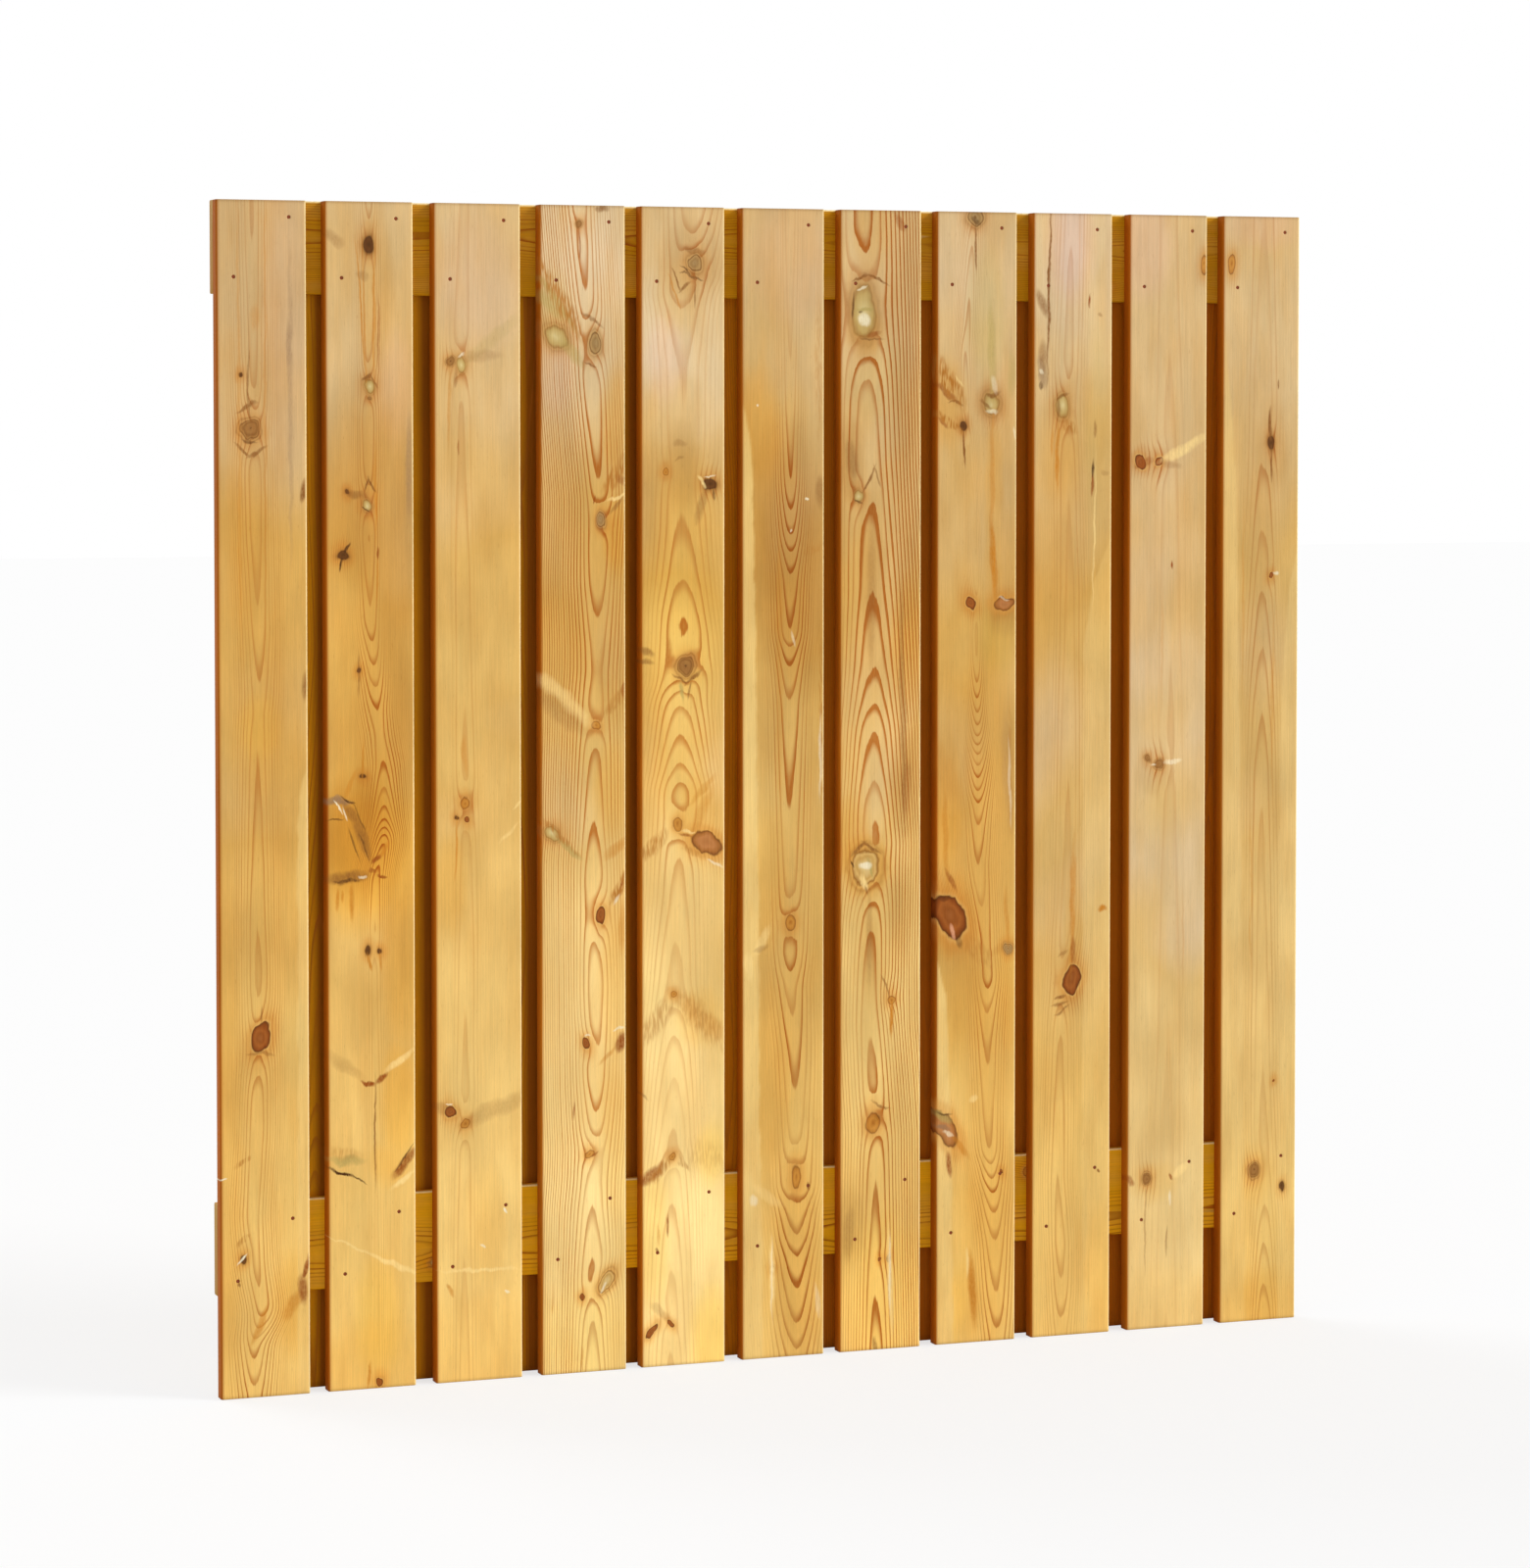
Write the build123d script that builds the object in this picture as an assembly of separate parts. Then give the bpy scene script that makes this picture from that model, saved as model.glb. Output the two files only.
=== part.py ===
"""Double-sided garden fence panel of planed, pressure-treated softwood.

Upright boards are nailed to both faces of two lying rails. The back boards stand
behind the gaps of the front ones, so the panel screens the view and lets the wind
through. Millimetres, +Z up, +X to the right for someone who looks at the front.
The front boards are on the -Y side. The origin is under the middle of the panel,
on the ground, in the middle plane of the rails.
"""

import os

from build123d import *

# Upright boards
PANEL_HEIGHT = 1800.0
BOARD_WIDTH = 138.0
BOARD_THICKNESS = 20.0
BOARD_GAP = 28.2
FRONT_BOARD_COUNT = 11

# Lying rails between the two layers of boards
RAIL_HEIGHT = 140.0
RAIL_THICKNESS = 20.0
LOWER_RAIL_RISE = 153.0

# The planer rounds all long edges of a rail and those of a board's outer face
ARRIS_RADIUS = 3.0

# Hand-nailed boards wander from even spacing: board number and its shift to the right
FRONT_BOARD_DRIFT = {3: 3.5, 4: 6.0, 5: 2.5, 6: 2.0, 8: -2.0, 9: -2.0}

# Square-shank nails, one pair on a slant where a board crosses a rail
NAIL_HEAD_DIAMETER = 5.5
NAIL_HEAD_THICKNESS = 1.2
NAIL_SHANK = 2.6
NAIL_POINT_LENGTH = 4.0
NAIL_TIP_COVER = 4.0
NAIL_HEAD_SINK = 1.0
NAIL_TO_BOARD_EDGE = 26.5
NAIL_TO_RAIL_EDGE = 25.0

# A small round head drawn with six flats keeps the many nails light
HEAD_FLAT_COUNT = 6

# The two faces of the panel, as the sign of their Y
FRONT = -1
BACK = 1

BOARD_PITCH = BOARD_WIDTH + BOARD_GAP
PANEL_WIDTH = FRONT_BOARD_COUNT * BOARD_WIDTH + (FRONT_BOARD_COUNT - 1) * BOARD_GAP
UPPER_RAIL_RISE = PANEL_HEIGHT - RAIL_HEIGHT
BOARD_OFFSET = (RAIL_THICKNESS + BOARD_THICKNESS) / 2
FACE_OFFSET = RAIL_THICKNESS / 2 + BOARD_THICKNESS
NAIL_LENGTH = BOARD_THICKNESS - NAIL_HEAD_SINK + RAIL_THICKNESS - NAIL_TIP_COVER


def front_board_centre(number):
    """X of a front board, counted from 1 at the left."""
    even_place = (number - 1) * BOARD_PITCH - (PANEL_WIDTH - BOARD_WIDTH) / 2
    return even_place + FRONT_BOARD_DRIFT.get(number, 0.0)


def back_board_centre(number):
    """X of a back board, in the middle between two even places of front boards."""
    return (number - 0.5) * BOARD_PITCH - (PANEL_WIDTH - BOARD_WIDTH) / 2


def nail_form(head_top):
    """A nail along -Z: head from its seat up to head_top, square shank, point."""
    head_outline = RegularPolygon(NAIL_HEAD_DIAMETER / 2, HEAD_FLAT_COUNT)
    head = Pos(0, 0, -NAIL_HEAD_THICKNESS) * extrude(head_outline, NAIL_HEAD_THICKNESS + head_top)
    shank_section = Rectangle(NAIL_SHANK, NAIL_SHANK)
    shank_end = NAIL_POINT_LENGTH - NAIL_LENGTH
    shank = Pos(0, 0, shank_end) * extrude(shank_section, -shank_end - NAIL_HEAD_THICKNESS)
    point = loft([Pos(0, 0, shank_end) * shank_section.face(), Vertex(0, 0, -NAIL_LENGTH)])
    return head + shank + point


def nail_places(side, board_x, rail_rise):
    """The two nails of one crossing: the upper one to the right, the lower one to the left."""
    across = BOARD_WIDTH / 2 - NAIL_TO_BOARD_EDGE
    upright = RAIL_HEIGHT / 2 - NAIL_TO_RAIL_EDGE
    head_y = side * (FACE_OFFSET - NAIL_HEAD_SINK)
    rail_middle = rail_rise + RAIL_HEIGHT / 2
    turn = Rot(-90 * side, 0, 0)
    return [
        Pos(board_x + end * across, head_y, rail_middle + end * upright) * turn
        for end in (1, -1)
    ]


def nails(side, centres, rail_rise):
    """All nails that hold one layer of boards to one rail."""
    nail = nail_form(0)
    return [place * nail for x in centres for place in nail_places(side, x, rail_rise)]


def nail_seats(side, centres, rail_rise):
    """The room that those nails take, open to the face above each sunk head."""
    seat = nail_form(2 * NAIL_HEAD_SINK)
    return [place * seat for x in centres for place in nail_places(side, x, rail_rise)]


def board_section(side):
    """A board's section: rounded corners on its outer face, square ones on the rails."""
    section = Rectangle(BOARD_WIDTH, BOARD_THICKNESS)
    outer_corners = section.vertices().group_by(Axis.Y)[0 if side == FRONT else -1]
    return fillet(outer_corners, ARRIS_RADIUS)


def board(side, x):
    """One upright board with the seats of its four nails."""
    section = board_section(side)
    blank = Pos(x, side * BOARD_OFFSET, 0) * extrude(section, PANEL_HEIGHT)
    seats = nail_seats(side, [x], LOWER_RAIL_RISE) + nail_seats(side, [x], UPPER_RAIL_RISE)
    return blank - seats


def rail(rise, front_centres, back_centres):
    """One lying rail, as long as the panel is wide, with the ends of all its nails."""
    section = Plane.YZ * RectangleRounded(RAIL_THICKNESS, RAIL_HEIGHT, ARRIS_RADIUS)
    blank = Pos(-PANEL_WIDTH / 2, 0, rise + RAIL_HEIGHT / 2) * extrude(section, PANEL_WIDTH)
    seats = nail_seats(FRONT, front_centres, rise) + nail_seats(BACK, back_centres, rise)
    return blank - seats


def build_pieces():
    """Every piece of the panel by its name."""
    front_centres = [front_board_centre(i) for i in range(1, FRONT_BOARD_COUNT + 1)]
    back_centres = [back_board_centre(i) for i in range(1, FRONT_BOARD_COUNT)]
    pieces = {}
    for number, x in enumerate(front_centres, 1):
        pieces[f"front_board_{number:02d}"] = board(FRONT, x)
    for number, x in enumerate(back_centres, 1):
        pieces[f"back_board_{number:02d}"] = board(BACK, x)
    for rail_name, rise in (("top", UPPER_RAIL_RISE), ("bottom", LOWER_RAIL_RISE)):
        pieces[f"{rail_name}_rail"] = rail(rise, front_centres, back_centres)
        pieces[f"front_nails_{rail_name}"] = Compound(nails(FRONT, front_centres, rise))
        pieces[f"back_nails_{rail_name}"] = Compound(nails(BACK, back_centres, rise))
    return pieces


os.makedirs("parts", exist_ok=True)
for name, piece in build_pieces().items():
    export_step(piece, f"parts/{name}.step")
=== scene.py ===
"""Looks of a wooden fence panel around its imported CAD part.

Every board and rail is made again at the CAD's place and size with a fine mesh. The
mesh carries the course of that plank's growth rings as numbers on its vertices, and
the plank's own pine material paints rings, knots, resin streaks and torn spots. The
nails get round heads, sunk in small pits.
"""

import math
from functools import partial

import bpy
import numpy as np
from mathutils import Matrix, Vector


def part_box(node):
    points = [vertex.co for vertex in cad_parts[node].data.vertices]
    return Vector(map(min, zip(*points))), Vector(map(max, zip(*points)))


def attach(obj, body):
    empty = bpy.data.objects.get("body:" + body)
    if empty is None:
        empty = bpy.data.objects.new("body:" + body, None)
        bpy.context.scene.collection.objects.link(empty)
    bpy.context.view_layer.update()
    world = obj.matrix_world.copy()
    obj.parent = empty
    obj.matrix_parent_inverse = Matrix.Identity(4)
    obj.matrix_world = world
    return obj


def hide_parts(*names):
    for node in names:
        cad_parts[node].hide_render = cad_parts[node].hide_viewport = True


bl_info = {
    "name": "Wooden fence panel",
    "version": (1, 0, 0),
    "blender": (4, 5, 0),
    "location": "3D View > Sidebar > Fence panel",
    "description": "Builds the boards, rails and nails of a double-sided garden fence panel",
    "category": "Object",
}

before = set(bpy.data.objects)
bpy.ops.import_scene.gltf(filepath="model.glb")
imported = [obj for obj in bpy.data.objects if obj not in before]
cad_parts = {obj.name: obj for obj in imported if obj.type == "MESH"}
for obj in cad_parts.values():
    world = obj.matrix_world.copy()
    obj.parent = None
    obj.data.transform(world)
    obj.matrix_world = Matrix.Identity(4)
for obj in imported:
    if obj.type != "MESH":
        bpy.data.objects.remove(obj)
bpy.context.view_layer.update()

BODY = "root"
MM = 0.001

FRONT_BOARDS = [f"front_board_{number:02d}" for number in range(1, 12)]
BACK_BOARDS = [f"back_board_{number:02d}" for number in range(1, 11)]
RAILS = ["top_rail", "bottom_rail"]
FRONT_NAILS = ["front_nails_top", "front_nails_bottom"]
BACK_NAILS = ["back_nails_top", "back_nails_bottom"]

BOARD_LOW, BOARD_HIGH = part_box("front_board_01")
RAIL_LOW, RAIL_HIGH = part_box("top_rail")
BOARD_SIZE = BOARD_HIGH - BOARD_LOW
RAIL_SIZE = RAIL_HIGH - RAIL_LOW

# A board's nails in millimetres from its middle, and from its lower end at each rail
NAIL_ACROSS = 42.5
UPPER_NAILS = (1775.0, 268.0)
LOWER_NAILS = (1685.0, 178.0)
NAIL_SIDES = 12

# A nail's pit, from the face round it to the floor under its head: radius and depth
PIT_RINGS = ((4.6, 0.0), (3.3, 0.1), (2.85, 0.45), (2.75, 2.15))
PIT_SIDES = 16

# Mesh columns across the outer and the inner face
FRONT_BOARD_COLUMNS = (44, 8)
BACK_BOARD_COLUMNS = (24, 10)
RAIL_COLUMNS = (24, 24)

# Planks lie this far apart in the space of their materials, so that no two look alike
PLANKS_APART = 400.0
FIRST_BACK_PLANK = 20
FIRST_RAIL_PLANK = 40

# Starting points of the random draws
TIMBER_SEED = 7100
BACK_BOARD_SEED = 640
RAIL_SEED = 815

# Painted shadow: a dark strip on the first back boards' inner faces, in the right part of each gap
SHADOWED_BACK_BOARDS = 4
PAINTED_SHADOW_AMOUNT = 0.85
PAINTED_SHADOW_FACTORS = (0.62, 0.5, 0.5)

# The rails' summer wood is more olive than the boards'
RAIL_LINE_SHADE = (0.8, 0.7, 0.15)

# The camera's place in metres, its turn in degrees, and its shift as a share of the sensor
CAMERA_PLACE = (-2.5248, -6.6915, 1.4795)
CAMERA_DOWN = 2.271
CAMERA_TO_RIGHT = 20.547
CAMERA_SHIFT_DOWN = 0.12

WHITE = (1.0, 1.0, 1.0, 1.0)


def knot(kind, place, size, tilt=0.0, lift=1.6):
    """A knot: place is to the right of the board's middle and up, size is wide and high, in millimetres.

    tilt leans it to the right in degrees. lift is how many rings it pushes aside.
    """
    return dict(kind=kind, u=place[0], z=place[1], wide=size[0], high=size[1], tilt=tilt, lift=lift)


def stroke(kind, start, end, wide, amount):
    """A streak, crack, stain or scratch between two points of a board's face."""
    return dict(kind=kind, u=start[0], z=start[1], to_u=end[0], to_z=end[1], wide=wide, amount=amount)


def zone(kind, place, size, amount):
    """A soft tint of the wood round a point, which leaves its figure visible."""
    return dict(kind=kind, u=place[0], z=place[1], wide=size[0], high=size[1], amount=amount)


def sapwood(side, heights, edges, amount):
    """A pale strip from one long edge, side -1 left or 1 right, to a wavy line."""
    return dict(side=side, heights=heights, edges=edges, amount=amount)


def plank(**figure):
    """A plank's figure: where its growth rings nest at each height, and its marks.

    rings counts growth rings from the pith, so the rings close in an arch where the
    count grows upward and in a V where it falls. reach is how far to each side they
    show, and side makes them stronger at the left below zero or the right above it.
    The share of a painted shadow, a dark strip on the inner face, is given too, or None where that face is
    bare.
    """
    plain = dict(side=0.0, knots=(), strokes=(), zones=(), strips=(), painted_shadow=None)
    return plain | figure


BOARD_1 = plank(
    heights=[0, 83, 100, 118, 135, 200, 275, 400, 600, 715, 1000, 1028, 1057, 1150, 1300, 1800],
    middles=[-18, -18, -12, -6, -4, -15, -20, -12, -8, -10, -9, -8, -6, -6, -10, -15],
    rings=[15.4, 13.4, 12.2, 11, 10.2, 9.6, 9.2, 9.0, 9.6, 10.1, 11.1, 11.4, 11.1, 10.2, 9.4, 8],
    spacing=2.7,
    reach=34,
    lines=[0.85, 0.85, 0.8, 0.8, 0.75, 0.6, 0.6, 0.6, 0.55, 0.55, 0.5, 0.5, 0.5, 0.5, 0.45, 0.4],
    light=0.0,
    warm=0.0,
    knots=[
        knot("swirl", (-19, 1458), (28, 30), lift=3.4),
        knot("dark", (-31, 1539), (6, 8), lift=0.5),
        knot("oval", (-4.5, 544), (29, 47), tilt=15, lift=3.6),
        knot("dark", (-35, 211), (9, 12), lift=1.0),
    ],
    strokes=[
        stroke("brown", (-34, 1485), (-10, 1496), wide=5, amount=0.7),
        stroke("brown", (-19, 1470), (-21, 1570), wide=3, amount=0.6),
        stroke("brown", (-38, 1432), (-20, 1418), wide=5, amount=0.7),
        stroke("brown", (-20, 1416), (2, 1430), wide=5, amount=0.7),
        stroke("dark", (-30, 1440), (-8, 1438), wide=4, amount=0.5),
        stroke("grey", (43, 1700), (44, 1300), wide=6, amount=0.3),
        stroke("grey", (42, 1618), (43, 1550), wide=9, amount=0.45),
        stroke("brown", (64, 1378), (61, 1354), wide=8, amount=0.9),
        stroke("brown", (66, 1090), (64, 1055), wide=9, amount=0.7),
        stroke("amber", (-36, 1780), (-34, 1150), wide=5, amount=0.28),
        stroke("amber", (-10, 1640), (-12, 1610), wide=12, amount=0.3),
        stroke("amber", (6, 1790), (4, 1160), wide=4, amount=0.3),
        stroke("white", (-69, 334), (-58, 334), wide=4, amount=0.9),
        stroke("comb", (-42, 352), (-26, 364), wide=8, amount=0.7),
        stroke("comb", (-42, 232), (-30, 246), wide=8, amount=0.7),
        stroke("white", (-44, 204), (-30, 218), wide=4, amount=0.8),
        stroke("brown", (-42, 173), (-40, 168), wide=4, amount=0.8),
        stroke("amber", (0, 130), (-18, 86), wide=8, amount=0.6),
        stroke("red", (56, 178), (58, 140), wide=18, amount=0.75),
        stroke("amber", (50, 150), (34, 122), wide=16, amount=0.6),
        stroke("red", (66, 206), (58, 176), wide=7, amount=0.9),
        stroke("brown", (-4, 590), (-4, 570), wide=3, amount=0.6),
        stroke("brown", (-22, 522), (10, 516), wide=5, amount=0.5),
    ],
    zones=[
        zone("shade", (-19, 1450), (70, 150), amount=0.4),
        zone("glow", (-22, 1330), (60, 420), amount=0.4),
        zone("glow", (-60, 350), (50, 900), amount=0.35),
        zone("glow", (20, 930), (90, 560), amount=0.25),
        zone("glow", (48, 140), (70, 150), amount=0.6),
        zone("pink", (40, 1620), (70, 420), amount=0.5),
        zone("shade", (-10, 1640), (200, 700), amount=0.35),
        zone("gold", (-5, 1015), (60, 90), amount=0.6),
    ],
    strips=[sapwood(side=1, heights=[0, 860, 930, 960], edges=[50, 52, 60, 72], amount=0.6)],
)

BOARD_2 = plank(
    heights=[
        0, 100, 330, 455, 642, 780, 835, 845, 855, 866, 886, 913, 950, 995,
        1035, 1065, 1095, 1130, 1165, 1300, 1530, 1720, 1800,
    ],
    middles=[8, 6, 7, 7, 5, 8, 21, 21, 21, 21, 21, 21, 21, 14, 8, 7, 5, 3, 0, -2, -2, 0, 0],
    rings=[
        4.2, 4.4, 4.9, 5.2, 5.6, 6.4, 8, 9, 10, 11, 12, 13, 14, 14.6, 14, 13, 12, 11, 10, 8.6, 7.6, 6.8, 6.4,
    ],
    spacing=2.3,
    reach=[22, 22, 22, 22, 22, 26, 34, 34, 34, 34, 34, 32, 30, 26, 22, 20, 18, 16, 16, 20, 22, 22, 22],
    lines=[
        0.25, 0.25, 0.25, 0.3, 0.3, 0.7, 1, 1, 1, 1, 1, 1, 0.9, 0.8, 0.9, 0.9, 0.9, 0.9, 0.8, 0.6, 0.6,
        0.5, 0.5,
    ],
    light=0.0,
    warm=0.3,
    knots=[
        knot("dark", (-2, 1736), (16, 30), lift=1.8),
        knot("pale", (0, 1524), (17, 20), lift=2.2),
        knot("swirl", (0, 1506), (8, 7), lift=0.4),
        knot("pale", (-4, 1344), (14, 20), lift=2.4),
        knot("dark", (-35, 1360), (6, 6), lift=0.4),
        knot("dark", (-42, 1268), (20, 13), lift=1.6),
        knot("dark", (-18, 1093), (7, 9), lift=0.6),
        knot("dark", (-12, 932), (9, 9), lift=0.8),
        knot("dark", (-5, 669), (9, 12), lift=0.8),
        knot("dark", (13, 666), (8, 8), lift=0.6),
        knot("oval", (11, 11), (13, 12), lift=0.8),
    ],
    strokes=[
        stroke("brown", (-64, 1750), (-46, 1738), wide=16, amount=0.35),
        stroke("amber", (-18, 1720), (-7, 1540), wide=3, amount=0.7),
        stroke("amber", (-9, 1715), (-6, 1560), wide=3, amount=0.5),
        stroke("amber", (8, 1715), (8, 1550), wide=4, amount=0.6),
        stroke("red", (14, 1660), (16, 1545), wide=4, amount=0.4),
        stroke("brown", (-10, 1530), (0, 1542), wide=4, amount=0.8),
        stroke("brown", (0, 1542), (12, 1526), wide=3, amount=0.6),
        stroke("brown", (-16, 1690), (-4, 1686), wide=10, amount=0.3),
        stroke("grey", (63, 1460), (62, 1340), wide=12, amount=0.5),
        stroke("brown", (-33, 1360), (-12, 1358), wide=10, amount=0.5),
        stroke("brown", (-6, 1364), (0, 1382), wide=3, amount=0.8),
        stroke("brown", (0, 1382), (8, 1366), wide=3, amount=0.8),
        stroke("dark", (-12, 1340), (0, 1334), wide=3, amount=0.7),
        stroke("amber", (8, 1430), (10, 1300), wide=4, amount=0.5),
        stroke("dark", (-40, 1272), (-32, 1286), wide=4, amount=0.9),
        stroke("dark", (-44, 1264), (-48, 1244), wide=4, amount=0.9),
        stroke("red", (14, 1282), (13, 1262), wide=4, amount=0.9),
        stroke("amber", (12, 1262), (10, 1200), wide=3, amount=0.6),
        stroke("brown", (-18, 1116), (-18, 1062), wide=3, amount=0.5),
        stroke("amber", (-11, 985), (-12, 930), wide=3, amount=0.7),
        stroke("amber", (-24, 940), (-40, 905), wide=6, amount=0.5),
        stroke("grey", (-69, 898), (-38, 896), wide=11, amount=0.8),
        stroke("dark", (-46, 903), (-26, 893), wide=4, amount=0.8),
        stroke("brown", (-40, 890), (-18, 860), wide=12, amount=0.6),
        stroke("brown", (-24, 870), (-4, 816), wide=14, amount=0.6),
        stroke("dark", (-28, 893), (-8, 850), wide=3, amount=0.5),
        stroke("dark", (-34, 856), (-18, 806), wide=3, amount=0.55),
        stroke("dark", (-18, 846), (-2, 806), wide=3, amount=0.5),
        stroke("white", (-56, 896), (-44, 878), wide=3, amount=0.7),
        stroke("white", (-44, 888), (-36, 868), wide=3, amount=0.6),
        stroke("dark", (-69, 868), (-42, 871), wide=3, amount=0.6),
        stroke("brown", (-64, 780), (-12, 784), wide=16, amount=0.7),
        stroke("dark", (-58, 777), (-18, 778), wide=6, amount=0.6),
        stroke("white", (-20, 784), (-8, 782), wide=5, amount=0.5),
        stroke("red", (4, 800), (14, 812), wide=9, amount=0.85),
        stroke("amber", (14, 810), (26, 832), wide=6, amount=0.8),
        stroke("red", (-2, 790), (8, 786), wide=6, amount=0.7),
        stroke("red", (12, 782), (24, 780), wide=6, amount=0.9),
        stroke("amber", (-52, 762), (-53, 735), wide=5, amount=0.75),
        stroke("amber", (-44, 760), (-44, 748), wide=4, amount=0.7),
        stroke("amber", (-31, 766), (-31, 720), wide=6, amount=0.75),
        stroke("amber", (-5, 662), (0, 640), wide=4, amount=0.8),
        stroke("amber", (14, 662), (15, 636), wide=3, amount=0.7),
        stroke("brown", (-60, 510), (-20, 478), wide=16, amount=0.25),
        stroke("red", (-14, 468), (4, 460), wide=7, amount=0.9),
        stroke("red", (26, 480), (6, 462), wide=8, amount=0.9),
        stroke("yellow", (60, 510), (28, 486), wide=9, amount=0.6),
        stroke("brown", (5, 456), (6, 325), wide=3, amount=0.8),
        stroke("comb", (-66, 366), (-24, 358), wide=16, amount=0.35),
        stroke("moss", (-60, 352), (-20, 350), wide=12, amount=0.7),
        stroke("dark", (-67, 341), (-26, 326), wide=6, amount=1.0),
        stroke("dark", (-30, 330), (-10, 310), wide=3, amount=0.85),
        stroke("red", (70, 362), (34, 322), wide=17, amount=0.8),
        stroke("dark", (66, 372), (36, 330), wide=4, amount=0.6),
        stroke("yellow", (64, 326), (36, 308), wide=7, amount=0.8),
        stroke("yellow", (-64, 232), (6, 202), wide=3, amount=0.6),
        stroke("yellow", (0, 205), (68, 172), wide=7, amount=0.7),
        stroke("amber", (-4, 38), (-8, 2), wide=4, amount=0.7),
    ],
    zones=[
        zone("gold", (0, 830), (170, 230), amount=0.7),
        zone("glow", (10, 1650), (50, 260), amount=0.5),
        zone("pink", (44, 1520), (60, 160), amount=0.8),
        zone("glow", (-10, 1340), (130, 330), amount=0.6),
        zone("shade", (-20, 1365), (70, 70), amount=0.35),
        zone("shade", (50, 1260), (60, 420), amount=0.45),
        zone("glow", (-10, 1060), (140, 420), amount=0.55),
        zone("shade", (55, 1000), (50, 360), amount=0.5),
        zone("shade", (40, 800), (80, 320), amount=0.4),
        zone("glow", (-40, 818), (64, 80), amount=0.75),
        zone("shade", (-18, 840), (120, 170), amount=0.8),
        zone("glow", (-10, 820), (150, 220), amount=0.9),
        zone("shade", (0, 1400), (170, 300), amount=0.3),
        zone("pale", (-20, 690), (110, 140), amount=0.6),
        zone("glow", (50, 680), (60, 300), amount=0.6),
        zone("pale", (-40, 520), (80, 200), amount=0.35),
        zone("glow", (44, 430), (56, 180), amount=0.8),
        zone("pale", (-30, 410), (70, 100), amount=0.5),
        zone("glow", (30, 345), (60, 70), amount=0.6),
        zone("gold", (10, 110), (70, 170), amount=0.8),
        zone("glow", (0, 40), (160, 120), amount=0.4),
    ],
)

BOARD_3 = plank(
    heights=[0, 222, 720, 900, 1365, 1560, 1800],
    middles=[-24, -24, -19, -20, -26, -26, -20],
    rings=[7.4, 8.1, 9.2, 9.6, 10.6, 11.1, 11.7],
    spacing=3.0,
    reach=18,
    lines=0.3,
    light=0.03,
    warm=0.2,
    knots=[
        knot("swirl", (-41, 1560), (14, 14), lift=1.2),
        knot("pale", (-24, 1555), (15, 26), lift=1.6),
        knot("amber", (-21, 889), (15, 16), lift=1.8),
        knot("dark", (-34, 866), (6, 6), lift=0.4),
        knot("oval", (-19, 861), (8, 11), tilt=-25, lift=0.8),
        knot("oval", (-45, 416), (17, 20), tilt=-25, lift=1.2),
        knot("amber", (-23, 397), (14, 14), lift=1.8),
    ],
    strokes=[
        stroke("moss", (-12, 1562), (56, 1622), wide=18, amount=0.25),
        stroke("brown", (-14, 1566), (30, 1568), wide=15, amount=0.25),
        stroke("white", (-28, 1566), (-20, 1574), wide=4, amount=0.5),
        stroke("brown", (-14, 400), (68, 434), wide=22, amount=0.28),
        stroke("brown", (-66, 424), (-50, 420), wide=16, amount=0.3),
        stroke("white", (-52, 428), (-42, 428), wide=3, amount=0.7),
        stroke("white", (40, 264), (44, 256), wide=4, amount=0.9),
        stroke("yellow", (-46, 172), (49, 168), wide=5, amount=0.75),
        stroke("amber", (-50, 148), (-44, 134), wide=6, amount=0.6),
        stroke("white", (3, 206), (10, 203), wide=5, amount=0.7),
        stroke("white", (40, 134), (48, 132), wide=5, amount=0.7),
        stroke("amber", (-44, 1546), (-46, 1440), wide=5, amount=0.4),
        stroke("brown", (-34, 1545), (-36, 1525), wide=6, amount=0.4),
        stroke("red", (-30, 1438), (-30, 1420), wide=3, amount=0.5),
        stroke("amber", (-34, 860), (-37, 780), wide=3, amount=0.6),
        stroke("amber", (-22, 985), (-21, 940), wide=8, amount=0.4),
        stroke("yellow", (58, 878), (68, 890), wide=4, amount=0.5),
        stroke("yellow", (36, 830), (60, 850), wide=5, amount=0.35),
    ],
    zones=[
        zone("glow", (-45, 760), (50, 140), amount=0.5),
        zone("pale", (30, 870), (70, 220), amount=0.35),
        zone("shade", (24, 1300), (50, 120), amount=0.25),
        zone("pink", (0, 1680), (140, 200), amount=0.6),
        zone("milky", (0, 700), (240, 1300), amount=0.35),
        zone("glow", (10, 240), (60, 180), amount=0.3),
        zone("glow", (0, 60), (160, 160), amount=0.25),
    ],
)

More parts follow.
